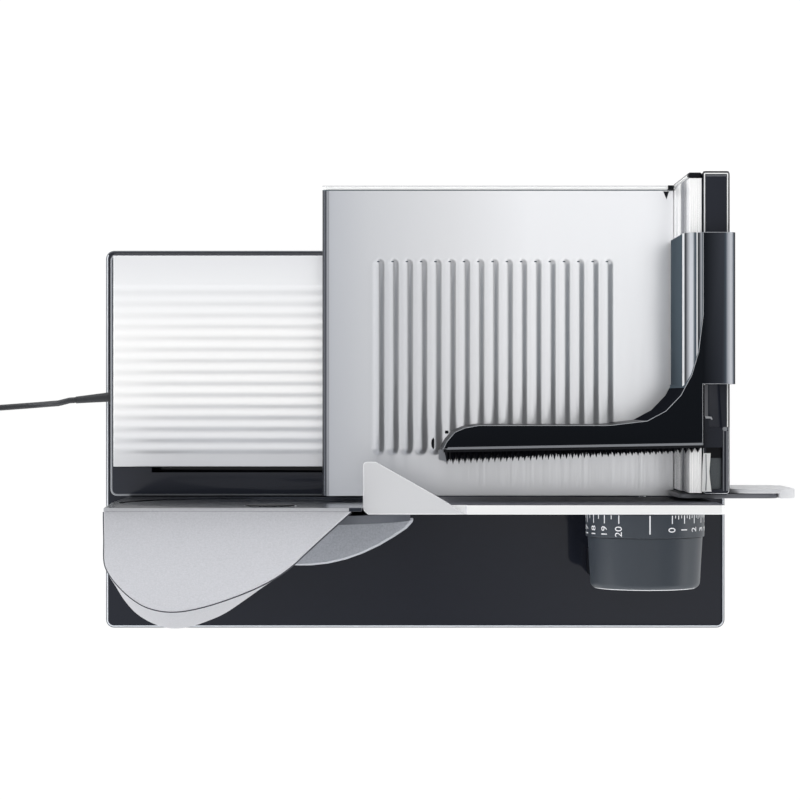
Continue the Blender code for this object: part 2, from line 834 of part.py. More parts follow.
# Food holder: saddle over the wall and grip, swept into an arm with spikes
def build_food_holder():
    fillet = [
        (pad_left - share_x * fillet_reach_x, arm_back + share_y * fillet_reach_y)
        for share_x, share_y in fillet_shares
    ]
    past = next(index for index, (x, y) in enumerate(fillet) if x < holder_skirt_x)
    (before_x, before_y), (after_x, after_y) = fillet[past - 1], fillet[past]
    share = (before_x - holder_skirt_x) / (before_x - after_x)
    skirt_end = (holder_skirt_x, before_y + share * (after_y - before_y))
    arm_depth = arm_back - arm_front_left
    end = [
        (arm_left + share_x * arm_depth, arm_front_left + share_y * arm_depth)
        for share_x, share_y in arm_end_shares
    ]
    outline = [(holder_right, holder_far), (holder_skirt_x, holder_far), skirt_end] + fillet[past:] + end
    outline += [(pad_left, arm_front_right), (pad_left, holder_near), (holder_right, holder_near)]
    body = prism(outline, "Z", holder_bottom, holder_top)
    rim = [
        edge for edge in body.edges
        if all(vert.co.x > holder_right - seat_gap and vert.co.z > holder_top - seat_gap for vert in edge.verts)
    ]
    bmesh.ops.bevel(
        body, geom=rim, offset=holder_right_round, segments=corner_steps, profile=0.5, affect="EDGES")
    saddle = make("food_holder", body, black_satin, holder)

    shoulder = [
        (
            holder_skirt_x + share_x * (holder_strip_x - holder_skirt_x),
            holder_shoulder_z + share_z * (holder_strip_z - holder_shoulder_z),
        )
        for share_x, share_z in shoulder_shares
    ]
    left = holder_skirt_x - overrun
    shoulder += [(pad_left + overrun, holder_strip_z), (pad_left + overrun, holder_top + overrun)]
    shoulder += [(left, holder_top + overrun), (left, shoulder[0][1])]
    strip = join_or_cut(saddle, prism(shoulder, "Y", skirt_end[1] - overrun, holder_far + overrun), holder)
    beside = [(pad_left, holder_far + 2 * overrun)] + fillet[:past] + [skirt_end]
    beside += [(left - overrun, skirt_end[1] + overrun), (left - overrun, holder_far + 2 * overrun)]
    join_or_cut(strip, prism(beside, "Z", holder_bottom, holder_top + 2 * overrun), holder, "INTERSECT")

    room_left = plate_right + seat_gap - holder_play
    room_right = plate_right + 2 * seat_gap + wall_thick + grip_width + holder_play
    room_middle = plate_right + 2 * seat_gap + wall_thick - holder_play
    over_wall = wall_top + plate_sheet + holder_play
    over_grip = grip_top + holder_play
    low = holder_bottom - overrun
    room = [
        (room_left, low), (holder_right + overrun, low), (holder_right + overrun, holder_right_bottom),
        (room_right, holder_right_bottom), (room_right, over_grip), (room_middle, over_grip),
        (room_middle, over_wall), (room_left, over_wall),
    ]
    join_or_cut(saddle, prism(room, "Y", arm_front_left - overrun, holder_far + overrun), holder)
    skirt_room = block(left, room_left + overrun, holder_near, holder_far + overrun, low, holder_skirt_bottom)
    join_or_cut(saddle, skirt_room, holder)
    spikes = make("spike_plate", spike_sheet_shape(), black_satin, holder)
    join_or_cut(spikes, spike_points(), holder, "UNION")


# Spike plate follows the slanted front of the arm
def front_at(x):
    slope = (arm_front_right - arm_front_left) / (pad_left - arm_left)
    return arm_front_left - seat_gap + (x - arm_left) * slope


def spike_sheet_shape():
    outline = [
        (spike_left, front_at(spike_left)), (spike_right, front_at(spike_right)),
        (spike_right, front_at(spike_right) - spike_sheet), (spike_left, front_at(spike_left) - spike_sheet),
    ]
    return prism(outline, "Z", holder_bottom, holder_top - seat_gap)


def spike_points():
    shape = bmesh.new()
    columns = int((spike_right - spike_left - 2 * spike_margin) / spike_pitch)
    for row in range(spike_rows):
        z = spike_first_z + row * spike_row_pitch
        for column in range(columns):
            x = spike_left + spike_margin + (column + (row % 2) / 2) * spike_pitch
            share = (x - spike_left) / (spike_right - spike_left)
            length = spike_long + (spike_short - spike_long) * share
            face = front_at(x) - spike_sheet
            corners = [
                shape.verts.new((x + a * spike_base, face + spike_root, z + b * spike_base))
                for a, b in ((1, 0), (0, 1), (-1, 0), (0, -1))
            ]
            tip = shape.verts.new((x, face - length, z))
            shape.faces.new(corners)
            for index in range(4):
                shape.faces.new((corners[index], corners[(index + 1) % 4], tip))
    return shape


# Tower sheet with the round blade opening, cut open to the right where the blade is bare
def build_tower():
    low = glass_top + seat_gap
    top_angle = math.acos(tower_right_top / blade_opening)
    foot_angle = -math.acos(tower_right / blade_opening)
    outline = [(tower_right, low), (tower_left, low), (tower_left, blade_z), (tower_left_top, tower_top)]
    outline += [(tower_right_top, tower_top)]
    outline += arc(0, blade_z, blade_opening, top_angle, foot_angle + full_turn, 2 * round_steps)
    sheet = prism(outline, "Y", tower_front - tower_sheet, tower_front)
    make("tower_sheet", sheet, bright_steel)

    back_right = frame_foot_right
    frame_top = roof_height(frame_back, cover_thick + 2 * seat_gap)
    arc_top = math.acos(frame_right / frame_radius)
    arc_foot = -math.acos(back_right / frame_radius)
    outline = [(back_right, low), (tower_left + seat_gap, low), (tower_left + seat_gap, blade_z)]
    outline += [(tower_left_top + seat_gap, frame_top), (frame_right, frame_top)]
    outline += arc(0, blade_z, frame_radius, arc_top, arc_foot, round_steps)
    frame_front = tower_front - tower_sheet - seat_gap
    frame = make("tower_frame", prism(outline, "Y", frame_back, frame_front), silver_paint)
    rim = [
        rod(bearing_boss, 0, blade_z, bearing_boss_back, frame_back + seat_gap, round_steps),
    ]
    for angle in motor_post_angles:
        x = motor_x + motor_post_ring * math.cos(angle)
        z = motor_z + motor_post_ring * math.sin(angle)
        post_back = motor_front + seat_gap
        rim.append(rod(motor_post_radius, x, z, post_back, frame_back + seat_gap, small_steps // 2))
    join_or_cut(frame, joined(*rim), fixed, "UNION")
    pocket = rod(frame_pocket_radius, 0, blade_z, frame_pocket, frame_front + overrun, 2 * round_steps)
    join_or_cut(frame, pocket)
    bore = joined(
        rod(
            bush_radius + seat_gap, 0, blade_z, bearing_boss_back - overrun, frame_pocket + overrun,
            round_steps,
        ),
        rod(idler_axle_radius + seat_gap, idler_x, idler_z, frame_back - overrun, frame_pocket + overrun),
    )
    join_or_cut(frame, bore)


# Motor housing and its cover share the plan outlines
def plan_outline(belly_share, scale):
    front = tower_front - tower_sheet - seat_gap
    spots = []
    for (ridge_x, ridge_y), (belly_x, belly_y) in zip(ridge_shares, belly_shares):
        x = cover_left + cover_width * (ridge_x + (belly_x - ridge_x) * belly_share)
        ridge_depth = ridge_y * cover_reach
        depth = ridge_depth + (belly_y * belly_reach - ridge_depth) * belly_share
        x = shell_centre_x + (x - shell_centre_x) * scale
        spots.append((x, front - depth * scale))
    return spots


def inset(outline, distance):
    moved = []
    for index, (x, y) in enumerate(outline):
        before = Vector(outline[max(index - 1, 0)])
        after = Vector(outline[min(index + 1, len(outline) - 1)])
        along = (after - before).normalized()
        moved.append((x - along.y * distance, y + along.x * distance))
    return moved


def shell_levels(distance, bottom):
    levels = []
    rows = [(bottom + (belly_z - bottom) * z, belly, scale) for z, belly, scale in belly_level_shares]
    rows += [(belly_z + (ridge_z - belly_z) * z, belly, scale) for z, belly, scale in upper_level_shares]
    for z, belly, scale in rows:
        outline = plan_outline(belly, scale)
        if distance:
            outline = inset(outline, distance)
        levels.append([Vector((x, y, z)) for x, y in outline])
    return levels


def roof_height(y, drop):
    front = tower_front - tower_sheet - seat_gap
    share = max(front - y, 0) / cover_reach
    return roof_top - drop - roof_fall * share ** roof_power


def roof_curve(drop):
    front = tower_front - tower_sheet - seat_gap
    steps = 12
    reach = cover_reach + overrun
    rows = [front - reach * step / steps for step in range(steps + 1)]
    return [(y, roof_height(y, drop)) for y in rows]


def build_housing():
    low = glass_top + seat_gap
    left = cover_left - overrun * 4
    right = cover_left + cover_width + overrun * 4
    far = -belly_reach - overrun * 4
    above = tower_top + overrun * 6
    shell = make("motor_housing", loft(shell_levels(0, low)), silver_paint)
    gap = cover_thick + seat_gap
    curve = roof_curve(gap)
    roof = [(frame_back + 2 * overrun, above), (frame_back + 2 * overrun, curve[0][1])] + curve[1:]
    roof += [(far, curve[-1][1]), (far, above)]
    join_or_cut(shell, prism(roof, "X", left, right))
    front = frame_back - seat_gap
    clear = joined(
        block(left, right, front, overrun * 2, low - overrun, above),
    )
    join_or_cut(shell, clear)
    under = block(
        deflector_left - seat_gap, right, far, front + overrun, low - overrun,
        deflector_top + seat_gap * 4,
    )
    join_or_cut(shell, under)
    hollow = loft(shell_levels(shell_wall, low + shell_wall))
    tool = join_or_cut(shell, hollow)
    floor = block(
        deflector_left - seat_gap - shell_wall, right, far, overrun * 2, low - overrun,
        deflector_top + seat_gap * 4 + shell_wall,
    )
    join_or_cut(tool, floor)

    plan = plan_outline(0, 1)
    lid = make("motor_cover", prism(plan, "Z", ridge_z - roof_fall, above), silver_paint)
    upper = roof_curve(0)
    lower = roof_curve(cover_thick)
    lead = tower_front - tower_sheet - seat_gap + overrun
    slab = [(lead, upper[0][1])] + upper + list(reversed(lower)) + [(lead, lower[0][1])]
    join_or_cut(lid, prism(slab, "X", left, right), fixed, "INTERSECT")


# Slice deflector: a domed leaf behind the lower right of the blade
def build_deflector():
    def levels(distance):
        rows = []
        for height_share, scale in deflector_level_shares:
            z = deflector_bottom + (deflector_top - deflector_bottom) * height_share
            spots = [(deflector_left, deflector_front)]
            for share_x, share_y in deflector_shares:
                x = deflector_left + deflector_length * share_x * (scale + 1) / 2
                spots.append((x, deflector_front - deflector_reach * share_y * scale))
            rows.append([Vector((x, y, z)) for x, y in spots])
        return rows

    leaf = make("slice_deflector", loft(levels(0)), silver_paint)
    disc = rod(deflector_clear, 0, blade_z, -belly_reach, overrun, 2 * round_steps)
    join_or_cut(leaf, disc, fixed, "INTERSECT")


# Blade, lock and drive
def build_blade():
    chain = [
        (blade_hole, -lock_recess), (lock_radius + 2 * run_gap, -lock_recess),
        (lock_radius + 3 * run_gap, -blade_hollow), (blade_flat_radius, -blade_hollow), (blade_radius, 0),
        (blade_radius, -blade_edge_land), (blade_flat_radius, -blade_back), (blade_hole, -blade_back),
    ]
    make("blade", turned(chain, 0, blade_z, True, 2 * round_steps), bright_steel, cutter)
    face = -blade_back - seat_gap
    flange = face - shaft_flange_thick
    chain = [
        (0, -lock_recess - seat_gap), (shaft_spigot, -lock_recess - seat_gap), (shaft_spigot, face),
        (bush_radius - seat_gap, face), (bush_radius - seat_gap, flange), (shaft_radius, flange),
        (shaft_radius, -shaft_end), (0, -shaft_end),
    ]
    make("blade_shaft", turned(chain, 0, blade_z, False, small_steps), motor_steel, cutter)
    back = -lock_recess + seat_gap
    disc = make("blade_lock", rod(lock_radius, 0, blade_z, back, -lock_face, round_steps), black_satin, lock)
    slot = block(
        -lock_radius * 2 / 3, lock_radius * 2 / 3, -lock_face - lock_slot_depth, overrun,
        blade_z - lock_slot_width / 2, blade_z + lock_slot_width / 2,
    )
    join_or_cut(disc, slot, lock)
    bush_front = flange - seat_gap
    inner = shaft_radius + bush_fit
    bush = ring(inner, bush_radius, 0, blade_z, bearing_boss_back, bush_front, small_steps)
    make("blade_bush", bush, bronze)


def involute(angle):
    return math.tan(angle) - angle


def gear_outline(teeth, x, z, tooth_at):
    pitch = gear_pitch[teeth]
    base = pitch * math.cos(pressure_angle)
    tip = pitch + tooth_height_share * tooth_module
    root = pitch - tooth_depth_share * tooth_module
    half = (math.pi * tooth_module / 2 - backlash) / (2 * pitch)
    start = max(base, root)
    radii = [start + (tip - start) * step / 2 for step in range(3)]
    spread = [half + involute(pressure_angle) - involute(math.acos(min(base / r, 1))) for r in radii]
    outline = []
    for tooth in range(teeth):
        middle = tooth_at + full_turn * tooth / teeth
        spots = [(root, -spread[0])] if start > root else []
        spots += [(radius, -angle) for radius, angle in zip(radii, spread)]
        spots += [(radius, angle) for radius, angle in reversed(list(zip(radii, spread)))]
        spots += [(root, spread[0])] if start > root else []
        for radius, angle in spots:
            outline.append((x + radius * math.cos(middle + angle), z + radius * math.sin(middle + angle)))
    return outline


# Each gear is turned so that a tooth of one meets a space of the next on the line of centres
def build_drive():
    idler_tooth = idler_angle + math.pi + math.pi / idler_teeth
    step = full_turn / idler_teeth
    offset = (idler_tooth - pinion_angle) % step
    ratio = gear_pitch[idler_teeth] / gear_pitch[pinion_teeth]
    pinion_tooth = pinion_angle + math.pi - offset * ratio + math.pi / pinion_teeth
    back = gear_front - gear_width
    idler_bore = idler_axle_radius + bush_fit
    pinion_bore = motor_shaft_radius + seat_gap
    rows = [
        ("blade_gear", blade_teeth, 0, blade_z, idler_angle, shaft_radius + seat_gap, cutter, gear_plastic),
        ("idler_gear", idler_teeth, idler_x, idler_z, idler_tooth, idler_bore, idler, gear_plastic),
        ("motor_pinion", pinion_teeth, motor_x, motor_z, pinion_tooth, pinion_bore, rotor, motor_steel),
    ]
    for name, teeth, x, z, tooth_at, bore, body, material in rows:
        gear = make(name, prism(gear_outline(teeth, x, z, tooth_at), "Y", back, gear_front), material, body)
        join_or_cut(gear, rod(bore, x, z, back - overrun, gear_front + overrun), body)
    axle = rod(idler_axle_radius, idler_x, idler_z, back - axle_overhang, frame_pocket)
    make("idler_axle", axle, motor_steel)
    shaft_front = frame_back - 2 * run_gap
    shaft = rod(motor_shaft_radius, motor_x, motor_z, motor_front - motor_neck, shaft_front)
    make("motor_shaft", shaft, motor_steel, rotor)
    can = turned(
        [
            (motor_shaft_radius + bush_fit, motor_front + motor_neck_long),
            (motor_neck, motor_front + motor_neck_long), (motor_neck, motor_front),
            (motor_radius, motor_front), (motor_radius, motor_back), (0, motor_back),
            (0, motor_front - motor_neck - run_gap),
            (motor_shaft_radius + bush_fit, motor_front - motor_neck - run_gap),
        ],
        motor_x, motor_z, True, small_steps,
    )
    make("motor", can, motor_steel)


# Stop plate with its arc beside the blade, the finger guard wing and the bracket behind
stop_back = stop_front - stop_thick
bracket_near = stop_back - seat_gap
bracket_far = bracket_near - bracket_thick


def build_stop():
    top_angle = math.asin((stop_top - blade_z) / stop_arc)
    foot_angle = math.asin((stop_bottom - blade_z) / stop_arc)
    outline = [(stop_right, stop_bottom + stop_corner), (stop_right, stop_top - stop_corner)]
    outline += [(stop_right - stop_corner, stop_top)]
    outline += arc(0, blade_z, stop_arc, top_angle, foot_angle, round_steps // 2)
    outline += [(stop_right - stop_corner, stop_bottom)]
    plate = make("stop_plate", prism(outline, "Y", stop_back, stop_front), aluminium, stop)
    finger_low = stop_top - finger_thick
    seat = block(
        finger_left - overrun * 3, finger_seat_end + seat_gap, stop_back - overrun, stop_front + overrun,
        finger_low - seat_gap, stop_top + overrun,
    )
    join_or_cut(plate, seat, stop)
    wing = [
        (finger_left, finger_far - finger_round / 2), (finger_left + finger_round / 2, finger_far),
        (finger_point, finger_far), (finger_end_x, finger_end_y), (finger_seat_end, stop_back),
        (finger_left + finger_round, stop_back), (finger_left, stop_back + finger_round),
    ]
    make("finger_guard", prism(wing, "Z", finger_low, stop_top), guard_grey, stop)

    outline = [
        (dial_x - bracket_half, bracket_bottom), (dial_x + bracket_half, bracket_bottom),
        (dial_x + bracket_half, bracket_top), (dial_x - bracket_half, bracket_top),
    ]
    holder_plate = make("stop_bracket", prism(outline, "Y", bracket_far, bracket_near), aluminium, stop)
    gate = follower_rod + 4 * run_gap
    join_or_cut(holder_plate, block(
        dial_x - gate, dial_x + gate, bracket_far - overrun, bracket_near + overrun,
        bracket_bottom - overrun, dial_z - follower_ring + gate), stop)
    for side, x in (("left", dial_x - rod_spread), ("right", dial_x + rod_spread)):
        guide = rod(rod_radius, x, rod_z, rod_end, bracket_far - seat_gap)
        make(f"guide_rod_{side}", guide, bright_steel, stop)
        outer = rod_radius + bush_fit + bush_wall
        bush = ring(rod_radius + bush_fit, outer, x, rod_z, pedestal_front, pedestal_back, small_steps)
        make(f"rod_bush_{side}", bush, bronze)
    outline = rounded_box(
        dial_x - pedestal_half, dial_x + pedestal_half, glass_top + seat_gap, pedestal_top, pedestal_round)
    pedestal = make("stop_pedestal", prism(outline, "Y", pedestal_front, pedestal_back), black_satin)
    hole = rod_radius + bush_fit + bush_wall + seat_gap
    holes = [
        rod(hole, x, rod_z, pedestal_front - overrun, pedestal_back + overrun)
        for x in (dial_x - rod_spread, dial_x + rod_spread)
    ]
    join_or_cut(pedestal, joined(*holes))


# Dial: knob, scale ring and cam drum turn together on the spindle of the stop bracket
def build_dial():
    back = scale_back - seat_gap * 2
    sleeve = scale_radius - scale_wall - seat_gap
    sleeve_inner = sleeve - sleeve_wall
    shoulder = scale_front - seat_gap
    chain = [(sleeve_inner, back), (sleeve, back), (sleeve, shoulder), (grip_back_radius, shoulder)]
    corner = [
        (grip_front_radius - knob_round + a, knob_front + knob_round - b)
        for a, b in ((x, y) for x, y in arc(0, 0, knob_round, 0, full_turn / 4, corner_steps))
    ]
    chain += corner + [(0, knob_front), (0, knob_front + knob_wall), (sleeve_inner, knob_front + knob_wall)]
    make("dial_knob", turned(chain, dial_x, dial_z, True), dial_grey, dial)
    band = ring(scale_radius - scale_wall, scale_radius, dial_x, dial_z, scale_front, scale_back)
    make("dial_scale_ring", band, dial_grey, dial)

    drum_front = knob_front + knob_wall + seat_gap
    seat = spindle_end - seat_gap
    chain = [
        (spindle_radius + run_gap, drum_back), (drum_radius, drum_back), (drum_radius, drum_front),
        (screw_radius + run_gap, drum_front), (screw_radius + run_gap, seat + run_gap),
        (spindle_radius + run_gap, seat + run_gap),
    ]
    drum = make("cam_drum", turned(chain, dial_x, dial_z, True), gear_plastic, dial)
    groove_ring = drum_radius - groove_depth
    extra = math.radians(6)
    steps = 44
    route = []
    for step in range(steps + 1):
        turn = -extra + (dial_range + 2 * extra) * step / steps
        angle = -math.pi / 2 - turn
        route.append(Vector((
            dial_x + groove_ring * math.cos(angle),
            follower_y + stop_travel * turn / dial_range,
            dial_z + groove_ring * math.sin(angle),
        )))
    join_or_cut(drum, sweep(route, groove_radius, 10), dial)

    spindle = rod(spindle_radius, dial_x, dial_z, spindle_end, bracket_far - seat_gap)
    make("dial_spindle", spindle, bright_steel, stop)
    screw_front = seat - screw_head
    make("dial_screw", rod(screw_radius, dial_x, dial_z, screw_front, seat), bright_steel, stop)

    post = block(
        dial_x - post_half, dial_x + post_half, post_near, post_near + post_deep,
        housing_top + seat_gap, post_top,
    )
    post = make("cam_post", post, aluminium)
    rod_at = dial_z - follower_ring
    join_or_cut(post, rod(follower_rod + seat_gap, dial_x, rod_at, post_near - overrun, post_near + post_bore))
    bar_back = follower_y - follower_rod
    bar = rod(follower_rod, dial_x, rod_at, bar_back, post_near + post_bore - seat_gap)
    follower = make("cam_follower", bar, bright_steel)
    pin = arc(dial_x, follower_y, follower_pin, 0, full_turn, small_steps)[:-1]
    join_or_cut(follower, prism(pin, "Z", rod_at, dial_z - follower_reach), fixed, "UNION")


# Push switch in the right end wall
def build_switch():
    front = housing_right + seat_gap
    bezel = prism(
        rounded_box(
            switch_y - switch_half_y - switch_bezel, switch_y + switch_half_y + switch_bezel,
            switch_z - switch_half_z - switch_bezel, switch_z + switch_half_z + switch_bezel, switch_bezel,
        ),
        "X", front, front + switch_bezel_thick,
    )
    frame = make("switch_frame", bezel, black_satin)
    inner_y = switch_half_y - seat_gap
    inner_z = switch_half_z - seat_gap
    insert = block(
        front - switch_deep, front + switch_bezel_thick / 2, switch_y - inner_y, switch_y + inner_y,
        switch_z - inner_z, switch_z + inner_z,
    )
    join_or_cut(frame, insert, fixed, "UNION")
    room_y = inner_y - switch_wall
    room_z = inner_z - switch_wall
    room = block(
        front - switch_deep + switch_wall, front + switch_bezel_thick + overrun, switch_y - room_y,
        switch_y + room_y, switch_z - room_z, switch_z + room_z,
    )
    join_or_cut(frame, room)
    key_front = front + button_proud
    key = rounded_box(
        switch_y - room_y + run_gap, switch_y + room_y - run_gap, switch_z - room_z + run_gap,
        switch_z + room_z - run_gap, button_round,
    )
    key = make("switch_button", prism(key, "X", key_front - button_long, key_front), black_gloss, button)
    soften(key, button_round / 2)


# Cord route: out of the base, down to the table and on to the coil
cord_radius = cord_diameter / 2
lay_z = cord_radius + table_clear
relief_end = Vector((housing_left - relief_long, cord_y - cord_radius, cord_z - cord_radius / 2))
relief_start = Vector((housing_left + housing_wall, cord_y, cord_z))
coil_start = Vector((coil_x, coil_y + coil_outer, lay_z))
relief_way = (relief_end - relief_start).normalized()
cord_points = [
    relief_end + relief_way * seat_gap,
    relief_end + relief_way * (seat_gap + cord_diameter),
    Vector((-134 * mm, 57.1 * mm, 20.4 * mm)),
    Vector((-141 * mm, 56.6 * mm, 15 * mm)),
    Vector((-149 * mm, 56 * mm, 7 * mm)),
    Vector((-159 * mm, 55.3 * mm, 2.9 * mm)),
    Vector((-170 * mm, 54.5 * mm, lay_z)),
    Vector((-186 * mm, 53.6 * mm, lay_z)),
    coil_start + Vector((seat_gap + cord_diameter, 0, 0)),
    coil_start + Vector((seat_gap, 0, 0)),
]


def smooth_route(points, spacing):
    route = [points[0]]
    for index in range(len(points) - 1):
        before = points[max(index - 1, 0)]
        start, end = points[index], points[index + 1]
        after = points[min(index + 2, len(points) - 1)]
        steps = max(int((end - start).length / spacing), 1)
        for step in range(1, steps + 1):
            t = step / steps
            pull = (end - before) * t + (2 * before - 5 * start + 4 * end - after) * t ** 2
            route.append((2 * start + pull + (3 * start - before - 3 * end + after) * t ** 3) / 2)
    return route


def tube(name, route, resolution):
    line = bpy.data.curves.new(name, "CURVE")
    line.dimensions = "3D"
    line.bevel_depth = cord_radius
    line.bevel_resolution = resolution
    line.use_fill_caps = True
    spline = line.splines.new("POLY")
    spline.points.add(len(route) - 1)
    for point, spot in zip(spline.points, route):
        point.co = (*spot, 1)
    line.materials.append(cord_black)
    piece = bpy.data.objects.new(name, line)
    bpy.context.collection.objects.link(piece)
    piece.parent = slicer
    return piece


# Coil: spirals in and out, a layer at a time, climbing in the half turn where it reverses
def coil_route():
    layer_turns = coil_turns / coil_layers
    count = int(coil_turns * coil_loop_points)
    route = []
    for index in range(count + 1):
        turns = coil_turns * index / count
        layer = min(int(turns / layer_turns), coil_layers - 1)
        share = turns / layer_turns - layer
        inward = share if layer % 2 == 0 else 1 - share
        radius = coil_outer + (coil_inner - coil_outer) * inward
        height = 0
        for step in range(1, coil_layers):
            climb = (turns - step * layer_turns) * 2 + 1 / 2
            climb = min(max(climb, 0), 1)
            height += climb * climb * (3 - 2 * climb) * coil_layer_step
        angle = full_turn / 4 + full_turn * turns
        route.append(Vector((
            coil_x + radius * math.cos(angle), coil_y + radius * math.sin(angle), lay_z + height)))
    return route + [route[-1] - Vector((0, cord_diameter, 0))]


def least_gap(route):
    least = None
    skip = coil_loop_points // 2
    for index, spot in enumerate(route):
        for other in route[index + skip:]:
            distance = (spot - other).length - cord_diameter
            if least is None or distance < least:
                least = distance
    return least


def build_cord():
    collar_near = housing_left - seat_gap
    collar_far = collar_near - relief_collar_thick
    stations = [
        (relief_start.x, relief_root), (collar_near, relief_root), (collar_near, relief_collar),
        (collar_far, relief_collar), (collar_far, relief_root),
    ]
    turn = arc(0, 0, 1, 0, full_turn, small_steps)[:-1]
    levels = [
        [Vector((x, cord_y + radius * a, cord_z + radius * b)) for a, b in turn] for x, radius in stations
    ]
    along = (relief_end - relief_start).normalized()
    side = along.cross(Vector((0, 0, 1))).normalized()
    up = side.cross(along)
    levels.append([relief_end + side * relief_tip * a + up * relief_tip * b for a, b in turn])
    make("strain_relief", loft(levels), cord_black)
    route = smooth_route(cord_points, cord_diameter * 2)
    tube("cord", route, 2)
    coil = coil_route()
    tube("cord_coil", coil, 1)
    print("least gap of the coil to itself, mm:", round(least_gap(coil) / mm, 3))
    end = coil[-1] - Vector((0, seat_gap, 0))
    plug_z = plug_thick / 2 + table_clear
    plug_top = Vector((end.x, end.y - tail_long, plug_z))
    tail = [
        end, end - Vector((0, cord_diameter, 0)),
        (end + plug_top) / 2,
        plug_top + Vector((0, cord_diameter, 0)), plug_top,
    ]
    tail_route = smooth_route(tail, cord_diameter * 3 / 2)
    tube("cord_tail", tail_route, 2)
    lengths = [
        sum((b - a).length for a, b in zip(line, line[1:])) for line in (route, coil, tail_route)
    ]
    print("cord lengths, mm:", [round(length / mm, 1) for length in lengths])
    collar = plug_top.y - seat_gap
    body = collar - plug_collar_long
    nose = body - plug_long
    x = plug_top.x
    outline = [
        (x - plug_collar, collar), (x + plug_collar, collar), (x + plug_collar, body),
        (x + plug_neck_width / 2, body), (x + plug_width / 2, body - plug_long / 2), (x + plug_width / 2, nose),
        (x - plug_width / 2, nose), (x - plug_width / 2, body - plug_long / 2),
        (x - plug_neck_width / 2, body), (x - plug_collar, body),
    ]
    plug = make("plug", prism(outline, "Z", table_clear, plug_thick), cord_black)
    soften(plug, 2 * glass_bevel)
    pins = joined(*[
        rod(pin_radius, x + offset, plug_z, nose - pin_long, nose + overrun, small_steps // 2)
        for offset in (-pin_spread, pin_spread)
    ])
    join_or_cut(plug, pins, fixed, "UNION")


build_base()
build_base_housing()
build_tray()
build_carriage()
build_thumb_guard()
build_food_holder()
build_tower()
build_housing()
build_deflector()
build_blade()
build_drive()
build_stop()
build_dial()
build_switch()
build_cord()
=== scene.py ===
import json
import math
import bmesh
import bpy
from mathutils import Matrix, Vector


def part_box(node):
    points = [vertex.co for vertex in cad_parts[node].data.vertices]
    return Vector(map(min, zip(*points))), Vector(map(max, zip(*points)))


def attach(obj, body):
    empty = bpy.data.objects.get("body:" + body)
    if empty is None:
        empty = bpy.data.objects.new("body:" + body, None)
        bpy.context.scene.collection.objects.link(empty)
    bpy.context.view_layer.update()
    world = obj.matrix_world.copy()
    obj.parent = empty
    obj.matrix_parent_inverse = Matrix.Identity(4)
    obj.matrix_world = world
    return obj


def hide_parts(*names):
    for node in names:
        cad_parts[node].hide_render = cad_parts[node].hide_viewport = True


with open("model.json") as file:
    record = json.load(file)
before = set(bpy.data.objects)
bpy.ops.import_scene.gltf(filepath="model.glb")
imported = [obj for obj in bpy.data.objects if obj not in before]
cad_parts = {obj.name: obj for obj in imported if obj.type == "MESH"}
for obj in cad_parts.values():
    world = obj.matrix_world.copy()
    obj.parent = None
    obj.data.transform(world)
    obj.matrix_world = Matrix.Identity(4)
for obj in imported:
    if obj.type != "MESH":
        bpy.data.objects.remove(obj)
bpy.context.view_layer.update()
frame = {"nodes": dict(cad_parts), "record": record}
mm = 0.001
fullTurn = 2 * math.pi
quarterTurn = math.pi / 2
axisLeft, axisNear = 96.55, 53.85  # the blade axis stands so many mm left of the middle, and nearer
scene = bpy.context.scene
print("frame loaded")


# sRGB hex to the linear colour that the nodes take
def hexColour(code):
    parts = [int(code[i:i + 2], 16) / 255 for i in (0, 2, 4)]
    return [p / 12.92 if p <= 0.04045 else ((p + 0.055) / 1.055) ** 2.4 for p in parts] + [1]


# Adds a node with its settings, the sockets that it takes and the sockets that it feeds
def addNode(mat, kind, settings=None, takes=None, feeds=None):
    node = mat.node_tree.nodes.new("ShaderNode" + kind)
    for key, value in (settings or {}).items():
        if isinstance(key, int) or key in node.inputs:
            node.inputs[key].default_value = value
        else:
            setattr(node, key, value)
    for key, source in (takes or {}).items():
        mat.node_tree.links.new(source, node.inputs[key])
    for key, target in (feeds or {}).items():
        mat.node_tree.links.new(node.outputs[key], target)
    return node


def socketsOf(mat):
    return mat.node_tree.nodes["Principled BSDF"].inputs


def newFinish(name, colour, roughness, metallic=0.0, specular=0.5):
    mat = bpy.data.materials.new(name)
    mat.use_nodes = True
    sockets = socketsOf(mat)
    sockets["Base Color"].default_value = hexColour(colour)
    sockets["Roughness"].default_value = roughness
    sockets["Metallic"].default_value = metallic
    sockets["Specular IOR Level"].default_value = specular
    return mat


# Noise of a size in mm along each axis moves the roughness and, where it has a depth, the surface
def addGrain(mat, size, detail, lower, upper, depth=0.0, strength=1.0):
    sockets = socketsOf(mat)
    level = sockets["Roughness"].default_value
    coords = addNode(mat, "TexCoord").outputs["Object"]
    place = addNode(mat, "Mapping", {"Scale": [1 / (side * mm) for side in size]}, {"Vector": coords})
    noise = addNode(mat, "TexNoise", {"Scale": 1, "Detail": detail}, {"Vector": place.outputs[0]})
    limits = {"From Min": 0.3, "From Max": 0.7, "To Min": level + lower, "To Max": level + upper}
    addNode(mat, "MapRange", limits, {"Value": noise.outputs["Fac"]}, {"Result": sockets["Roughness"]})
    if depth:
        relief = {"Distance": depth * mm, "Strength": strength}
        addNode(mat, "Bump", relief, {"Height": noise.outputs["Fac"]}, {"Normal": sockets["Normal"]})
    return mat


# Brushed metal: scratches along one axis pull highlights out across them. Real ones are 0.05 mm apart
# and are drawn 0.25 mm apart, so that they show
def brushed(name, colour, along, roughness, metallic=1.0):
    size = [0.25] * 3
    size[along] = 60
    return addGrain(newFinish(name, colour, roughness, metallic), size, 3, -0.05, 0.07, 0.004, 0.6)


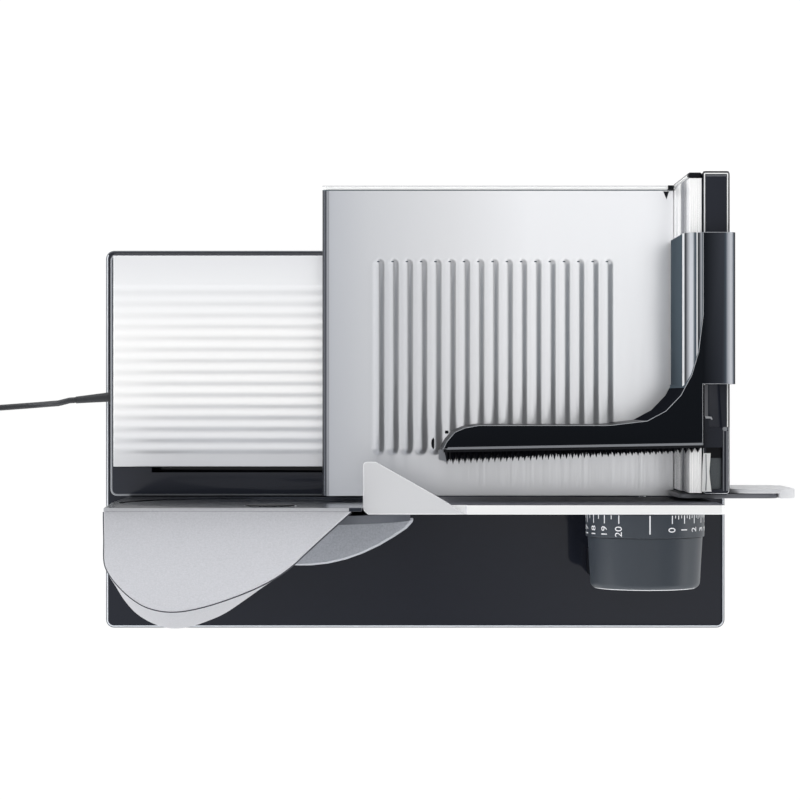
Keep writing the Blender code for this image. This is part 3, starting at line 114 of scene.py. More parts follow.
# Moulded plastic: even colour with the fine grain of a spark-eroded tool, sized in mm
def moulded(name, colour, roughness, grain, depth, specular=0.5):
    return addGrain(newFinish(name, colour, roughness, 0, specular), [grain] * 3, 4, -0.04, 0.04, depth)


# Textured silver paint: hard little grains with light and dark specks, drawn 0.9 mm across instead of
# the real 0.5 mm, so that they show
def grainyPaint(name, light, dark):
    mat = newFinish(name, light, 0.5, 0.25)
    sockets = socketsOf(mat)
    coords = addNode(mat, "TexCoord").outputs["Object"]
    fleck = {"Scale": 1 / (0.9 * mm), "Detail": 5, "Roughness": 0.7}
    grain = addNode(mat, "TexNoise", fleck, {"Vector": coords}).outputs["Fac"]
    speck = addNode(mat, "MapRange", {"From Min": 0.35, "From Max": 0.65}, {"Value": grain})
    colours = {"data_type": "RGBA", 6: hexColour(dark), 7: hexColour(light)}
    addNode(mat, "Mix", colours, {0: speck.outputs["Result"]}, {2: sockets["Base Color"]})
    addNode(mat, "Bump", {"Distance": 0.05 * mm}, {"Height": grain}, {"Normal": sockets["Normal"]})
    return mat


# Smoked float glass, wiped by hand: nearly black, with faint smears 30 mm across
tintedGlass = addGrain(newFinish("tintedGlass", "1f222b", 0.04, specular=0.2), (30, 30, 30), 2, -0.01, 0.03)
groundEdge = moulded("groundGlassEdge", "5d6167", 0.5, 0.6, 0.004, 0.1)  # ground glass: dull grey
# Painted highlight for the glass arris: a light grey line on the rounding, left off its far side
paintedGlassHighlight = moulded("polishedGlassEdge", "c4c8cf", 0.12, 0.6, 0.004)  # polished: a bright line

# Brushed sheet steel, and drawn, anodised or sintered metals: soft streaked highlights
# The tray, plate and banded finishes below take their colour from painted light bands on the mesh
traySteel = brushed("trayBrushedSteel", "dfe1e5", 0, 0.34, 0.6)
plateSteel = brushed("plateBrushedSteel", "e8e9ec", 1, 0.2, 0.6)
anodised = brushed("satinAnodisedAluminium", "dfdfe6", 0, 0.34)
bandedAluminium = brushed("drawnAluminiumBands", "b9bac0", 1, 0.26, 0.35)
bronze = brushed("sinteredBronze", "b08d57", 1, 0.4)
zincSteel = brushed("zincPlatedSteel", "9a9da1", 1, 0.4)

# Polished, ground and plated metals mirror what is round them, so they look darker than their colour
mirrorSteel = newFinish("bladePolishedSteel", "c4c6ca", 0.18, 1)
sheetSteel = newFinish("sheetMirrorSteel", "2e3138", 0.2, 1)
chromeSteel = newFinish("rodGroundSteel", "e2e4e8", 0.1, 1)
nickel = newFinish("nickelPlatedBrass", "d9d5ca", 0.18, 1)

# Lacquered and milled aluminium: bright or dull, without a mirror image
# The bright one also serves as painted highlight on rims and thin lines; the dull one is painted shade on the
# stop plate's inner face
brightAluminiumAndHighlight = moulded("brightLacqueredAluminium", "eceded", 0.3, 0.6, 0.003)
dullAluminium = moulded("dullAluminium", "4c4e55", 0.5, 0.6, 0.004, 0.1)

# Moulded ABS: polished where it is black, finely grained where it is grey or pale
glossAbs = moulded("glossBlackAbs", "242730", 0.12, 1.2, 0.006, 0.25)
slateAbs = moulded("slateGlossAbs", "4c555b", 0.25, 0.5, 0.006)
dialAbs = moulded("anthraciteAbs", "3a4047", 0.42, 0.5, 0.01, 0.3)
paleAbs = moulded("paleGreyAbs", "d0d1d4", 0.42, 0.5, 0.01)
guardInset = moulded("guardInsetAbs", "63656b", 0.4, 0.5, 0.008)

# Moulded nylon and acetal: a soft satin gloss; the edge tones after them are painted highlights and painted
# shade for rims, roundings and thin lines
satinNylon = moulded("satinBlackNylon", "0c0e14", 0.38, 0.45, 0.008, 0.12)
barNylon = moulded("gripNylon", "22252e", 0.34, 0.45, 0.006, 0.15)
bandedNylon = moulded("glossNylonBands", "0e1016", 0.34, 0.45, 0.006, 0.03)
framePaint = moulded("frameGreyPolyamide", "50545c", 0.5, 0.5, 0.01)
acetal = moulded("naturalAcetal", "e6e1d2", 0.45, 0.6, 0.006)
rimGrey = moulded("rubbedEdgeNylon", "7c7f85", 0.3, 0.6, 0.004)
paintedRimLight = moulded("brightEdgeNylon", "b4b7bc", 0.3, 0.6, 0.004)
paintedRimHighlight = moulded("polishedEdgeNylon", "dcdee2", 0.25, 0.6, 0.004)
paintedRimShade = moulded("shadedEdgeNylon", "16181d", 0.8, 0.6, 0.004, 0)
paintedSlateShade = moulded("shadedSlateNylon", "49535b", 0.8, 0.6, 0.004, 0)

# Rubber, soft PVC and printing ink: matt and even
softRubber = moulded("footRubber", "17181b", 0.8, 0.8, 0.02)
# Painted shadow for the gap between the housing's cover and shell: a dark matt band
paintedSeamShadow = moulded("gasketRubber", "3c3e45", 0.6, 0.8, 0.01)
cordPvc = moulded("cordPvc", "1d2026", 0.42, 0.8, 0.01)
whiteInk = newFinish("printedWhiteInk", "f2f3f5", 0.6)

silverPaint = grainyPaint("texturedSilverPaint", "b1b2b7", "a4a5aa")
deflectorPaint = grainyPaint("deflectorSilverPaint", "b3b6bd", "9da1a8")

# These take their colour from the mesh: painted highlights and painted shade in bands, for the light that
# roundings and drawn metal show from above
for mat in (traySteel, plateSteel, bandedNylon, bandedAluminium):
    addNode(mat, "Attribute", {"attribute_name": "paintedLight"}, None, {"Color": socketsOf(mat)["Base Color"]})
print("finishes made")


# A piece rides with a CAD node's body and, unless it only adds to it, replaces it: the node is hidden
def finishPiece(name, bm, finish, node, smoothAngle=35, adds=False):
    mesh = bpy.data.meshes.new(name)
    bm.to_mesh(mesh)
    bm.free()
    piece = bpy.data.objects.new(name, mesh)
    scene.collection.objects.link(piece)
    for mat in finish if isinstance(finish, list) else [finish]:
        mesh.materials.append(mat)
    mesh.shade_smooth()
    mesh.set_sharp_from_angle(angle=math.radians(smoothAngle))
    record = frame["record"]
    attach(piece, next(body for body, nodes in record["behaviour"]["bodies"].items() if node in nodes))
    if not adds:
        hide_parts(node)
    return piece


def paintNodes(finish, *nodes):
    for node in nodes:
        mesh = frame["nodes"][node].data
        mesh.materials.clear()
        mesh.materials.append(finish)


# World place of a spot given in millimetres from the blade axis, as the CAD counts it
def spot(x, y, z):
    return Vector((x - axisLeft, y - axisNear, z)) * mm


def blend(first, second, share):
    return first + (second - first) * share


# Evenly spaced values from the first to the second, both included
def spread(first, second, count):
    return [blend(first, second, k / count) for k in range(count + 1)]


def middleOf(face):
    return face.calc_center_median()


def rectangle(left, near, right, far):
    return [(left, near), (right, near), (right, far), (left, far)]


def mergedCopy(node):
    bm = bmesh.new()
    bm.from_mesh(frame["nodes"][node].data)
    bmesh.ops.remove_doubles(bm, verts=bm.verts, dist=0.005 * mm)
    bmesh.ops.dissolve_limit(bm, angle_limit=math.radians(1), verts=bm.verts, edges=bm.edges)
    return bm


def roundEdges(piece, width, segments=3, angle=30):
    bevel = piece.modifiers.new("roundEdges", "BEVEL")
    bevel.width = width * mm
    bevel.segments = segments
    bevel.limit_method = "ANGLE"
    bevel.angle_limit = math.radians(angle)
    bevel.harden_normals = True


def roundedCopy(node, finish, width):
    roundEdges(finishPiece(node + "Rounded", mergedCopy(node), finish, node), width)


def thicken(piece, thickness):
    wall = piece.modifiers.new("sheetThickness", "SOLIDIFY")
    wall.thickness = thickness * mm
    wall.offset = -1


def faceUp(bm):
    bmesh.ops.recalc_face_normals(bm, faces=bm.faces)
    if sum(face.normal.z for face in bm.faces) < 0:
        bmesh.ops.reverse_faces(bm, faces=bm.faces)


def facesPast(bm, axis, place):
    return [face for face in bm.faces if middleOf(face)[axis] > place]


def roundOff(bm, edges, width, segments, **options):
    options.update(profile=0.5, affect="EDGES", material=-1)
    return bmesh.ops.bevel(bm, geom=edges, offset=width, segments=segments, **options)["faces"]


# Rim of a flat top: a five-step rounding whose lit steps take a painted highlight and whose steeper steps take
# painted shade
def litRim(bm, width, lit, shade, steepest, within=None):
    rim = []
    for edge in bm.edges:
        if within:
            middle = (edge.verts[0].co + edge.verts[1].co) / 2
            fromLow, fromHigh = middle - within[0], within[1] - middle
            if min(fromLow.x, fromHigh.x, fromLow.y, fromHigh.y) > 1.6 * mm:  # inside the outline
                continue
        if len(edge.link_faces) == 2:
            steep, flat = sorted(abs(face.normal.z) for face in edge.link_faces)
            top = max(middleOf(face).z for face in edge.link_faces) - 0.0001 * mm
            if steep < 0.35 and flat > 0.97 and max(vert.co.z for vert in edge.verts) >= top:
                rim.append(edge)
    for face in roundOff(bm, rim, width * mm, 5, clamp_overlap=True):
        face.normal_update()
        if face.normal.z < 0.95:
            face.material_index = lit if face.normal.z > steepest else shade


# Tones of painted light for the glossy roundings and the drawn metal, from painted shade to painted highlight
tones = {
    "black": "101318", "coal": "22252c", "dark": "3a3d44", "slate": "454e57", "grey": "7c7e83", "mid": "999ca3",
    "light": "bcbfc5", "silver": "cbcdd1", "satin": "dadbde", "pale": "eaebee", "bright": "f4f5f7",
    "white": "ffffff",
}
tones = {name: Vector(hexColour(code)) for name, code in tones.items()}


# Corner colours of painted light: one plain tone and, on chosen faces, painted highlight and shade blended
# between places in mm along an axis
def lightBands(bm, plain, banded, axis=0):
    layer = bm.loops.layers.float_color.new("paintedLight")
    bandsOf = {face: list(bands.items()) for faces, bands in banded for face in faces}
    for face in bm.faces:
        bands = bandsOf.get(face, [])
        for loop in face.loops:
            loop[layer] = tones[plain]
            corner = loop.vert.co * 0.98 + middleOf(face) * 0.02  # just inside the face
            place = (corner - spot(0, 0, 0))[axis] / mm
            for (low, first), (high, second) in zip(bands, bands[1:]):
                if low <= place < high:
                    loop[layer] = tones[first].lerp(tones[second], (place - low) / (high - low))


def addPrism(bm, outline, low, high, finish=0):
    bottom, top = [[bm.verts.new(spot(x, y, z)) for x, y in outline] for z in (low, high)]
    sides = [(bottom[i - 1], bottom[i], top[i], top[i - 1]) for i in range(len(outline))]
    faces = [bm.faces.new(corners) for corners in (bottom, top, *sides)]
    for face in faces:
        face.material_index = finish
    bmesh.ops.recalc_face_normals(bm, faces=faces)


# Cuts the faces along a plane and, where asked, takes away what lies beyond it
def cutAt(bm, place, normal, faces=None, drop=False):
    chosen = bm.faces[:] if faces is None else faces
    parts = {part for face in chosen for part in (face, *face.edges, *face.verts)}
    cut = bmesh.ops.bisect_plane(bm, geom=list(parts), plane_co=place, plane_no=normal, clear_outer=drop)
    if drop:
        edges = [part for part in cut["geom_cut"] if isinstance(part, bmesh.types.BMEdge)]
        bmesh.ops.holes_fill(bm, edges=edges, sides=0)


# A point of the smooth curve through a row of points, the share t of the way from point i to the next
def curvePoint(points, i, t):
    start, end = points[i:i + 2]
    before, after = points[max(i - 1, 0)], points[min(i + 2, len(points) - 1)]
    pull = (end - before) * t + (2 * before - 5 * start + 4 * end - after) * t ** 2
    return (2 * start + pull + (3 * start - before - 3 * end + after) * t ** 3) / 2


# Camera: straight above, at the photograph's distance
camera = {"x": -22.45, "y": 5.25, "height": 1800, "lens": 131.47}
camData = bpy.data.cameras.new("photoCamera")
camData.lens = camera["lens"]
camData.sensor_width = 36
camObject = bpy.data.objects.new("photoCamera", camData)
camObject.location = (camera["x"] * mm, camera["y"] * mm, camera["height"] * mm)
scene.collection.objects.link(camObject)
scene.camera = camObject
print("camera set")

# Cord: one sheath from the strain relief through the coil to the plug
cord = {
    "diameter": 3.6, "lay": 1.85, "coilX": -301.55, "coilY": -25.45, "outer": 25, "inner": 16.4,
    "layers": 4, "turns": 8.25, "step": 4.15, "loopPoints": 24, "spacing": 5, "plugReach": 24,
    "plugHeight": 6.85, "prongs": 9.5,
    "points": [
        (-219.849, 5.228, 23.089), (-223.437, 4.965, 22.957), (-230.55, 3.25, 20.4), (-237.55, 2.75, 15),
        (-245.55, 2.15, 7), (-255.55, 1.45, 2.9), (-266.55, 0.65, 1.85), (-282.55, -0.25, 1.85),
        (-297.65, -0.45, 1.85),
    ],
}


def smoothRoute(points):
    route = [points[0]]
    for i in range(len(points) - 1):
        steps = max(int((points[i + 1] - points[i]).length / cord["spacing"]), 1)
        route += [curvePoint(points, i, t) for t in spread(0, 1, steps)[1:]]
    return route


# Four layers that wind inwards and outwards in turn, each a step above the one before
def coilRoute():
    layerTurns = cord["turns"] / cord["layers"]
    count = int(cord["turns"] * cord["loopPoints"])
    route = []
    for i in range(count + 1):
        turns = cord["turns"] * i / count
        layer = min(int(turns / layerTurns), cord["layers"] - 1)
        share = turns / layerTurns - layer
        inward = share if layer % 2 == 0 else 1 - share
        radius = blend(cord["outer"], cord["inner"], inward)
        height = cord["lay"]
        for step in range(1, cord["layers"]):
            climb = min(max((turns - step * layerTurns) * 2 + 0.5, 0), 1)
            height += climb * climb * (3 - 2 * climb) * cord["step"]
        angle = quarterTurn + fullTurn * turns
        x, y = cord["coilX"] + radius * math.cos(angle), cord["coilY"] + radius * math.sin(angle)
        route.append(Vector((x, y, height)))
    return route


def wholeRoute():
    coil = coilRoute()
    side = Vector((0, cord["diameter"], 0))
    lastTurn = coil[-1] - side - Vector((0, 0.3, 0))
    plugEnd = Vector((lastTurn.x, lastTurn.y - cord["plugReach"], cord["plugHeight"]))
    tail = [lastTurn, lastTurn - side, (lastTurn + plugEnd) / 2, plugEnd + side, plugEnd]
    return smoothRoute([Vector(point) for point in cord["points"]]) + coil + smoothRoute(tail)


def plugPiece():
    bm = mergedCopy("plug")
    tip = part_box("plug")[0].y + cord["prongs"] * mm
    cutAt(bm, (0, tip, 0), (0, 1, 0))
    for face in bm.faces:
        face.material_index = 1 if middleOf(face).y < tip else 0
    return finishPiece("plugMoulded", bm, [cordPvc, nickel], "plug")


def cordPiece(plug):
    route = wholeRoute()
    curve = bpy.data.curves.new("mainsCord", "CURVE")
    curve.dimensions = "3D"
    curve.bevel_depth = cord["diameter"] / 2 * mm
    curve.bevel_resolution = 3
    curve.use_fill_caps = True
    spline = curve.splines.new("POLY")
    spline.points.add(len(route) - 1)
    for point, place in zip(spline.points, route):
        point.co = (*(place * mm), 1)
    spline.use_smooth = True
    curve.materials.append(cordPvc)
    piece = bpy.data.objects.new("mainsCord", curve)
    scene.collection.objects.link(piece)
    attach(piece, "base")
    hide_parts("cord", "cord_coil", "cord_tail")


cordPiece(plugPiece())
paintNodes(cordPvc, "strain_relief")
print("cord laid")

# Glass base with a polished arris all round
glass = {"corner": 5, "arris": 2.4, "thin": 0.4}


def glassBase():
    low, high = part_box("glass_plate")
    bm = bmesh.new()
    bmesh.ops.create_cube(bm, size=1)
    bmesh.ops.scale(bm, vec=high - low, verts=bm.verts)
    bmesh.ops.translate(bm, vec=(low + high) / 2, verts=bm.verts)
    upright = [edge for edge in bm.edges if abs(edge.verts[0].co.z - edge.verts[1].co.z) > mm]
    roundOff(bm, upright, glass["corner"] * mm, 8)
    rim = []
    for edge in bm.edges:
        if len(edge.link_faces) == 2 and abs(edge.link_faces[0].normal.z - edge.link_faces[1].normal.z) > 0.5:
            rim.append(edge)
    width = min(glass["arris"] * mm, glass["thin"] * (high.z - low.z))
    # Steep arris faces take the ground edge; the rest of the rounding takes the painted highlight, except where
    # it faces far
    for face in roundOff(bm, rim, width, 4):
        face.normal_update()
        if abs(face.normal.z) < 0.95:
            face.material_index = 1 if abs(face.normal.z) < 0.7 else 0 if face.normal.y > 0.3 else 2
    finishPiece("glassBase", bm, [tintedGlass, groundEdge, paintedGlassHighlight], "glass_plate")


# Housing of the base, with a painted highlight on the rounding of its top rim, except where it faces far
def baseHousing():
    bm = mergedCopy("base_housing")
    for face in bm.faces:
        if 0.3 < face.normal.z < 0.95 and face.normal.y < 0.3:
            face.material_index = 1
    finishPiece("baseHousing", bm, [glossAbs, rimGrey], "base_housing")


glassBase()
for number in range(1, 5):
    roundedCopy(f"foot_{number}", softRubber, 1)
baseHousing()
print("base made")

# Slice tray: folded sheet with fifteen rolled steps and a turned-up rim
tray = {
    "steps": 15, "pitch": 6.88, "rise": 0.6, "first": 26, "detail": 10, "thick": 0.8, "edge": 0.4,
    # Painted light along the tray from near to far: satin at the near end, white in the middle, pale at the far
    # end
    "bands": {
        0: "satin", 19: "satin", 34: "pale", 60: "white", 100: "white", 128: "bright", 147: "pale",
        200: "pale",
    },
}


def sheetTray():
    low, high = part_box("ribbed_tray")
    bm = bmesh.new()
    first = spot(0, tray["first"], 0).y
    edge = tray["edge"] * mm  # short rows and columns at the edges keep the wide faces evenly lit
    columns = [low.x, low.x + edge, high.x - edge, high.x]
    places = [(low.y, 0), (low.y + edge, 0)]
    for share in spread(0, tray["steps"], tray["steps"] * tray["detail"]):
        rise = tray["rise"] * (1 - math.cos(fullTurn * (share % 1))) / 2
        places.append((first + share * tray["pitch"] * mm, rise * mm))
    places += [(high.y - edge, 0), (high.y, 0)]
    top = low.z + tray["thick"] * mm
    lines = [[bm.verts.new((x, y, top + z)) for x in columns] for y, z in places]
    for near, far in zip(lines, lines[1:]):
        for index in range(len(columns) - 1):
            bm.faces.new((near[index], near[index + 1], far[index + 1], far[index]))
    faceUp(bm)
    lightBands(bm, "satin", [(bm.faces, tray["bands"])], 1)
    thicken(finishPiece("sheetTray", bm, traySteel, "ribbed_tray", 60), tray["thick"])


sheetTray()
print("tray made")

# Carriage plate: pressed ribs, rolled left and far edges, and a turned-down skirt
plate = {
    "ribs": 17, "pitch": 8.46, "width": 8, "rise": 1.5, "near": 26.5, "far": 143.2, "first": 61.2, "top": 70,
    "thick": 1.2, "leftRound": 4.3, "farRound": 2.4, "seam": 0.7, "edge": 0.3, "detail": 12, "run": 0.4,
    # Painted light across the plate from left to right: painted shade on the rolled left edge with thin painted
    # highlights, then lighter to the right
    "bands": {
        -200: "dark", 30.7: "dark", 31.1: "light", 31.6: "grey", 32.3: "light", 56: "silver", 104: "satin",
        150: "pale", 300: "pale",
    },
}


def ribHeight(x, y):
    share = (x - plate["first"]) / plate["pitch"]
    number = min(max(round(share), 0), plate["ribs"] - 1)
    half = plate["width"] / 2
    middle = plate["first"] + number * plate["pitch"]
    end = max(plate["near"] + half - y, y - plate["far"] + half, 0)
    away = min(math.hypot(x - middle, end) / half, 1)
    return plate["rise"] * (1.3 - 0.5 * number / plate["ribs"]) * (1 + math.cos(math.pi * away)) / 2


def plateColumns(left, right):
    roundEnd = left + plate["leftRound"]
    columns = [left + plate["leftRound"] * (1 - math.cos(quarterTurn * k / 10)) for k in range(11)]
    start = plate["first"] - plate["pitch"] / 2
    end = start + plate["pitch"] * plate["ribs"]
    columns += spread(roundEnd, start, 12)[1:-1] + spread(start, end, plate["ribs"] * plate["detail"])
    return columns + spread(end, right - plate["edge"], 8)[1:] + [right]


def plateRows(near, far):
    half, roundStart = plate["width"] / 2, far - plate["farRound"]
    rows = [near, near + plate["edge"], (near + plate["near"]) / 2]
    rows += spread(plate["near"] - plate["run"], plate["near"] + half, 6)
    rows += spread(plate["far"] - half, plate["far"] + plate["run"], 6)
    rows += [(plate["far"] + far) / 2, roundStart - plate["seam"]]
    return rows + [roundStart + plate["farRound"] * math.sin(quarterTurn * k / 5) for k in range(6)]


# How far a rolled edge has dropped at a place so far beyond the start of its rounding
def roundDrop(radius, beyond):
    return radius - math.sqrt(max(radius ** 2 - max(beyond, 0) ** 2, 0))


def pressedPlate():
    low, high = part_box("carriage_plate")
    left, near = low.x / mm + axisLeft, low.y / mm + axisNear
    right, far = high.x / mm + axisLeft, high.y / mm + axisNear
    columns, rows = plateColumns(left, right), plateRows(near, far)
    bm = bmesh.new()
    bmesh.ops.create_grid(bm, x_segments=len(columns) - 1, y_segments=len(rows) - 1, size=0.5)
    for vert in bm.verts:
        x = columns[round((vert.co.x + 0.5) * (len(columns) - 1))]
        y = rows[round((vert.co.y + 0.5) * (len(rows) - 1))]
        dropLeft = roundDrop(plate["leftRound"], left + plate["leftRound"] - x)
        dropFar = roundDrop(plate["farRound"], y - far + plate["farRound"])
        vert.co = spot(x, y, plate["top"] + ribHeight(x, y) - max(dropLeft, dropFar))
    faceUp(bm)
    skirts = []
    for edge in bm.edges:
        atLeft = max(vert.co.x for vert in edge.verts) < low.x + 0.1 * mm
        if edge.is_boundary and (atLeft or min(vert.co.y for vert in edge.verts) > high.y - 0.1 * mm):
            skirts.append(edge)
    for grown in bmesh.ops.extrude_edge_only(bm, edges=skirts)["geom"]:
        if isinstance(grown, bmesh.types.BMVert):
            grown.co.z = low.z
    # The far edge takes painted shade on a strip before its rounding, a painted highlight on the rounding and
    # painted shade on its last half millimetre
    for face in bm.faces:
        back = (high.y - middleOf(face).y) / mm
        if back < plate["farRound"] + plate["seam"]:
            face.material_index = 3 if back > plate["farRound"] else 1 if back > 0.5 else 2
    lightBands(bm, "satin", [(bm.faces, plate["bands"])])
    layer = bm.loops.layers.float_color["paintedLight"]
    # Painted dark reflections where the far ends of the ribs begin
    for face in bm.faces:  # dark marks where the far ends of the ribs begin
        place = (middleOf(face) - spot(plate["first"], plate["far"] - 2.2, 0)) / mm
        aside = (place.x + plate["pitch"] / 2) % plate["pitch"] - plate["pitch"] / 2
        if abs(place.y) < 0.5 and abs(aside) < 0.75 and -1 < place.x < plate["pitch"] * plate["ribs"]:
            for loop in face.loops:
                loop[layer] = tones["slate"]
    finishes = [plateSteel, brightAluminiumAndHighlight, rimGrey, slateAbs]
    thicken(finishPiece("pressedPlate", bm, finishes, "carriage_plate", 50), plate["thick"])


# Upright wall of the carriage: drawn aluminium whose inner face is painted with bright and dull bands: painted
# reflections and painted shade
wallBands = {
    "slices": 40, "low": 70, "high": 155, "round": 0.4,
    "bands": {
        0: "grey", 66.4: "grey", 67.6: "white", 84.6: "white", 88.9: "satin", 93.2: "white", 110.8: "white",
        113.1: "grey", 136.1: "grey", 139.4: "satin", 150.9: "bright", 154.1: "white", 300: "white",
    },
}


def bandedWall():
    bm = mergedCopy("carriage_wall")
    for step in range(wallBands["slices"]):
        height = blend(wallBands["low"], wallBands["high"], (step + 0.5) / wallBands["slices"])
        cutAt(bm, spot(0, 0, height), (0, 0, 1))
    seen = []
    for face in bm.faces:
        if face.normal.x < -0.7 or (face.normal.z > 0.7 and middleOf(face).z > 100 * mm):
            seen.append(face)
    lightBands(bm, "light", [(seen, wallBands["bands"])], 2)
    roundEdges(finishPiece("bandedWall", bm, bandedAluminium, "carriage_wall"), wallBands["round"])


# Grip bar: the CAD bar with a rounded rim, a painted highlight on top and painted shade down its sides
def gripBar():
    bm = mergedCopy("carriage_grip")
    low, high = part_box("carriage_grip")
    litRim(bm, 2, 1, 2, 0.8, (low, high))
    for face in bm.faces:
        place = middleOf(face)
        inwards = min(place.x - low.x, high.x - place.x, place.y - low.y, high.y - place.y)
        if inwards < 2.2 * mm and 0.05 < face.normal.z < 0.95:
            face.material_index = 1 if face.normal.z > 0.75 else 2
    finishPiece("carriage_gripRimmed", bm, [barNylon, paintedRimHighlight, paintedRimShade], "carriage_grip")


# End cap of the wall: a dark head with a painted highlight on its rim, and a thin bright back edge below it
cap = {"back": 1.1, "head": 7, "round": 0.9}


def endCap():
    bm = mergedCopy("wall_end_cap")
    low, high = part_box("wall_end_cap")
    cutAt(bm, high - Vector((0, cap["back"] * mm, 0)), (0, 1, 0))
    cutAt(bm, high - Vector((0, 0, cap["head"] * mm)), (0, 0, 1))
    for face in bm.faces:
        place = middleOf(face)
        if place.y < high.y - (cap["back"] + 0.1) * mm and place.z < high.z - cap["head"] * mm:
            face.material_index = 1
    litRim(bm, cap["round"], 2, 0, 0.75, (low, high))
    finishPiece("endCap", bm, [satinNylon, brightAluminiumAndHighlight, rimGrey], "wall_end_cap")


pressedPlate()
bandedWall()
endCap()
gripBar()
roundedCopy("carriage_bracket", anodised, 0.3)
roundedCopy("slide_shoe", acetal, 0.5)
roundedCopy("thumb_guard_mount", guardInset, 0.5)
roundedCopy("thumb_guard", paleAbs, 0.8)

# Small fittings of the carriage, and thin pieces of painted highlight, shade, shadow and reflection laid over
# it: finish, low and high side and outline in mm
onPlate, onGrip, onRim = (69.9, 71.65), (156.95, 157.1), (156.5, 157.03)
fittings = {
    "block": (satinNylon, (70.2, 73.4), rectangle(232.6, 183.4, 236, 186)),
    "notch": (satinNylon, (69.9, 70.15), [(230, 182.6), (233.4, 182.6), (231.9, 177.9)]),
    # A dark block under the holder's arm: a painted shadow
    "deck": (satinNylon, (138, 152.5), rectangle(246.4, 26.4, 255.3, 32.4)),
    "floor": (slateAbs, (138, 150.5), rectangle(249.2, 8.7, 255.3, 26.4)),
    "lever": (brightAluminiumAndHighlight, (156.9, 157.9), [
        (243.7, 7.6), (249.2, 7.6), (248.4, 14), (248, 19), (248.4, 24), (248.7, 29.2), (244.6, 29.2),
        (244.1, 20), (243.9, 13),
    ]),
    "groove": (rimGrey, (157.9, 157.96), [
        (245.6, 8.2), (246.3, 8.2), (246.6, 15), (246.3, 28.6), (245.8, 28.6), (246, 15),
    ]),
    "ledge": (barNylon, (138, 156.9), rectangle(246.4, 32.4, 255.3, 43.8)),
    "gap": (satinNylon, onGrip, rectangle(243.3, 32.1, 245.35, 67.6)),
    "strap": (guardInset, onGrip, rectangle(245.4, 50.1, 247.3, 67.6)),
    # A light line at the hook's lower end: a painted highlight
    "hook": (paintedRimLight, onGrip, [
        (245.6, 50.1), (249.2, 49.7), (249.9, 48.2), (249.2, 48), (248.7, 48.7), (246, 48.7),
    ]),
    "knob": (rimGrey, onGrip, [
        (256.1, 41.7), (257.6, 41.7), (258.2, 42.3), (258.2, 43.3), (257.6, 43.9), (256.1, 43.9), (255.5, 43.3),
        (255.5, 42.3),
    ]),
    "seamLeft": (guardInset, onGrip, rectangle(255.75, 8, 256.35, 41.7)),
    "seamRight": (rimGrey, onGrip, rectangle(257.7, 8, 258.4, 41.7)),
    # Bright lines along the grip's rim: painted highlights, with a grey inner line at the far end
    "lineLeft": (brightAluminiumAndHighlight, onRim, rectangle(245, 67.6, 245.7, 186.2)),
    "lineRight": (brightAluminiumAndHighlight, onRim, rectangle(258, 43.9, 258.7, 186.2)),
    "lineFar": (brightAluminiumAndHighlight, onRim, [
        (245, 186.2), (258.7, 186.2), (258.7, 186.5), (258.3, 186.9), (245.4, 186.9), (245, 186.5),
    ]),
    "lineInner": (rimGrey, onRim, rectangle(246.3, 185, 257.6, 185.35)),
    # Dark strips on the grip's outer rounding: painted shade
    "edgeLeft": (paintedRimShade, onRim, rectangle(244.2, 67.6, 245, 186.9)),
    "edgeRight": (paintedRimShade, onRim, rectangle(258.7, 43.9, 259.4, 186.9)),
    "edgeFar": (paintedRimShade, onRim, [
        (244.6, 186.9), (259, 186.9), (259, 187.6), (258.3, 187.8), (245.3, 187.8), (244.6, 187.6),
    ]),
    # Dark spots on the plate under the arm's tip: painted reflections of the holder's arm
    "stud": (satinNylon, onPlate, [
        (92.8, 31.5), (93.75, 30), (94.7, 31.5), (94.9, 33.4), (94.7, 35.4), (93.75, 36.9), (92.8, 35.4),
        (92.6, 33.4),
    ]),
    "smallStud": (satinNylon, onPlate, [
        (100.9, 39.2), (102.6, 39.2), (102.9, 40), (102.6, 41), (100.9, 41), (100.6, 40),
    ]),
}


def carriageFittings():
    bm = bmesh.new()
    finishes = []
    for finish, (low, high), outline in fittings.values():
        if finish not in finishes:
            finishes.append(finish)
        addPrism(bm, outline, low, high, finishes.index(finish))
    finishPiece("carriageFittings", bm, finishes, "carriage_grip", adds=True)


carriageFittings()

# Food holder: saddle with glossy roundings that carry painted highlights and painted shade, swept arm tip, dense
# spikes
saddle = {
    "skirt": 232.9, "pad": 243.9, "top": 167.9, "fillet": 55, "lit": 66, "armEnd": 205, "tipEnd": 125,
    "rim": 1.8, "round": 8.5, "sideZone": 12, "slices": 30, "low": 148, "high": 165,
    # Painted highlights and painted shade across the shoulder's roundings, by place across in mm
    "shoulder": {
        0: "slate", 233.2: "slate", 233.45: "pale", 233.9: "satin", 234.25: "coal", 234.75: "coal",
        235.25: "grey", 236.65: "light", 238.1: "light", 238.95: "slate", 239.9: "slate", 240.2: "pale",
        240.65: "satin", 240.95: "coal", 241.6: "coal", 241.95: "grey", 243.1: "light", 243.5: "coal",
        243.9: "black", 300: "black",
    },
    # Painted highlight across the rounded right side, by place across in mm
    "side": {
        0: "black", 249.5: "black", 253: "coal", 255.2: "dark", 256.2: "slate", 257.2: "mid", 259.1: "light",
        260.1: "mid", 260.7: "slate", 261.3: "coal", 300: "coal",
    },
    "tip": ((98.1, 31.7), (100.4, 36.2), (104.8, 41.2), (110.4, 43.6), (118, 45)),
}


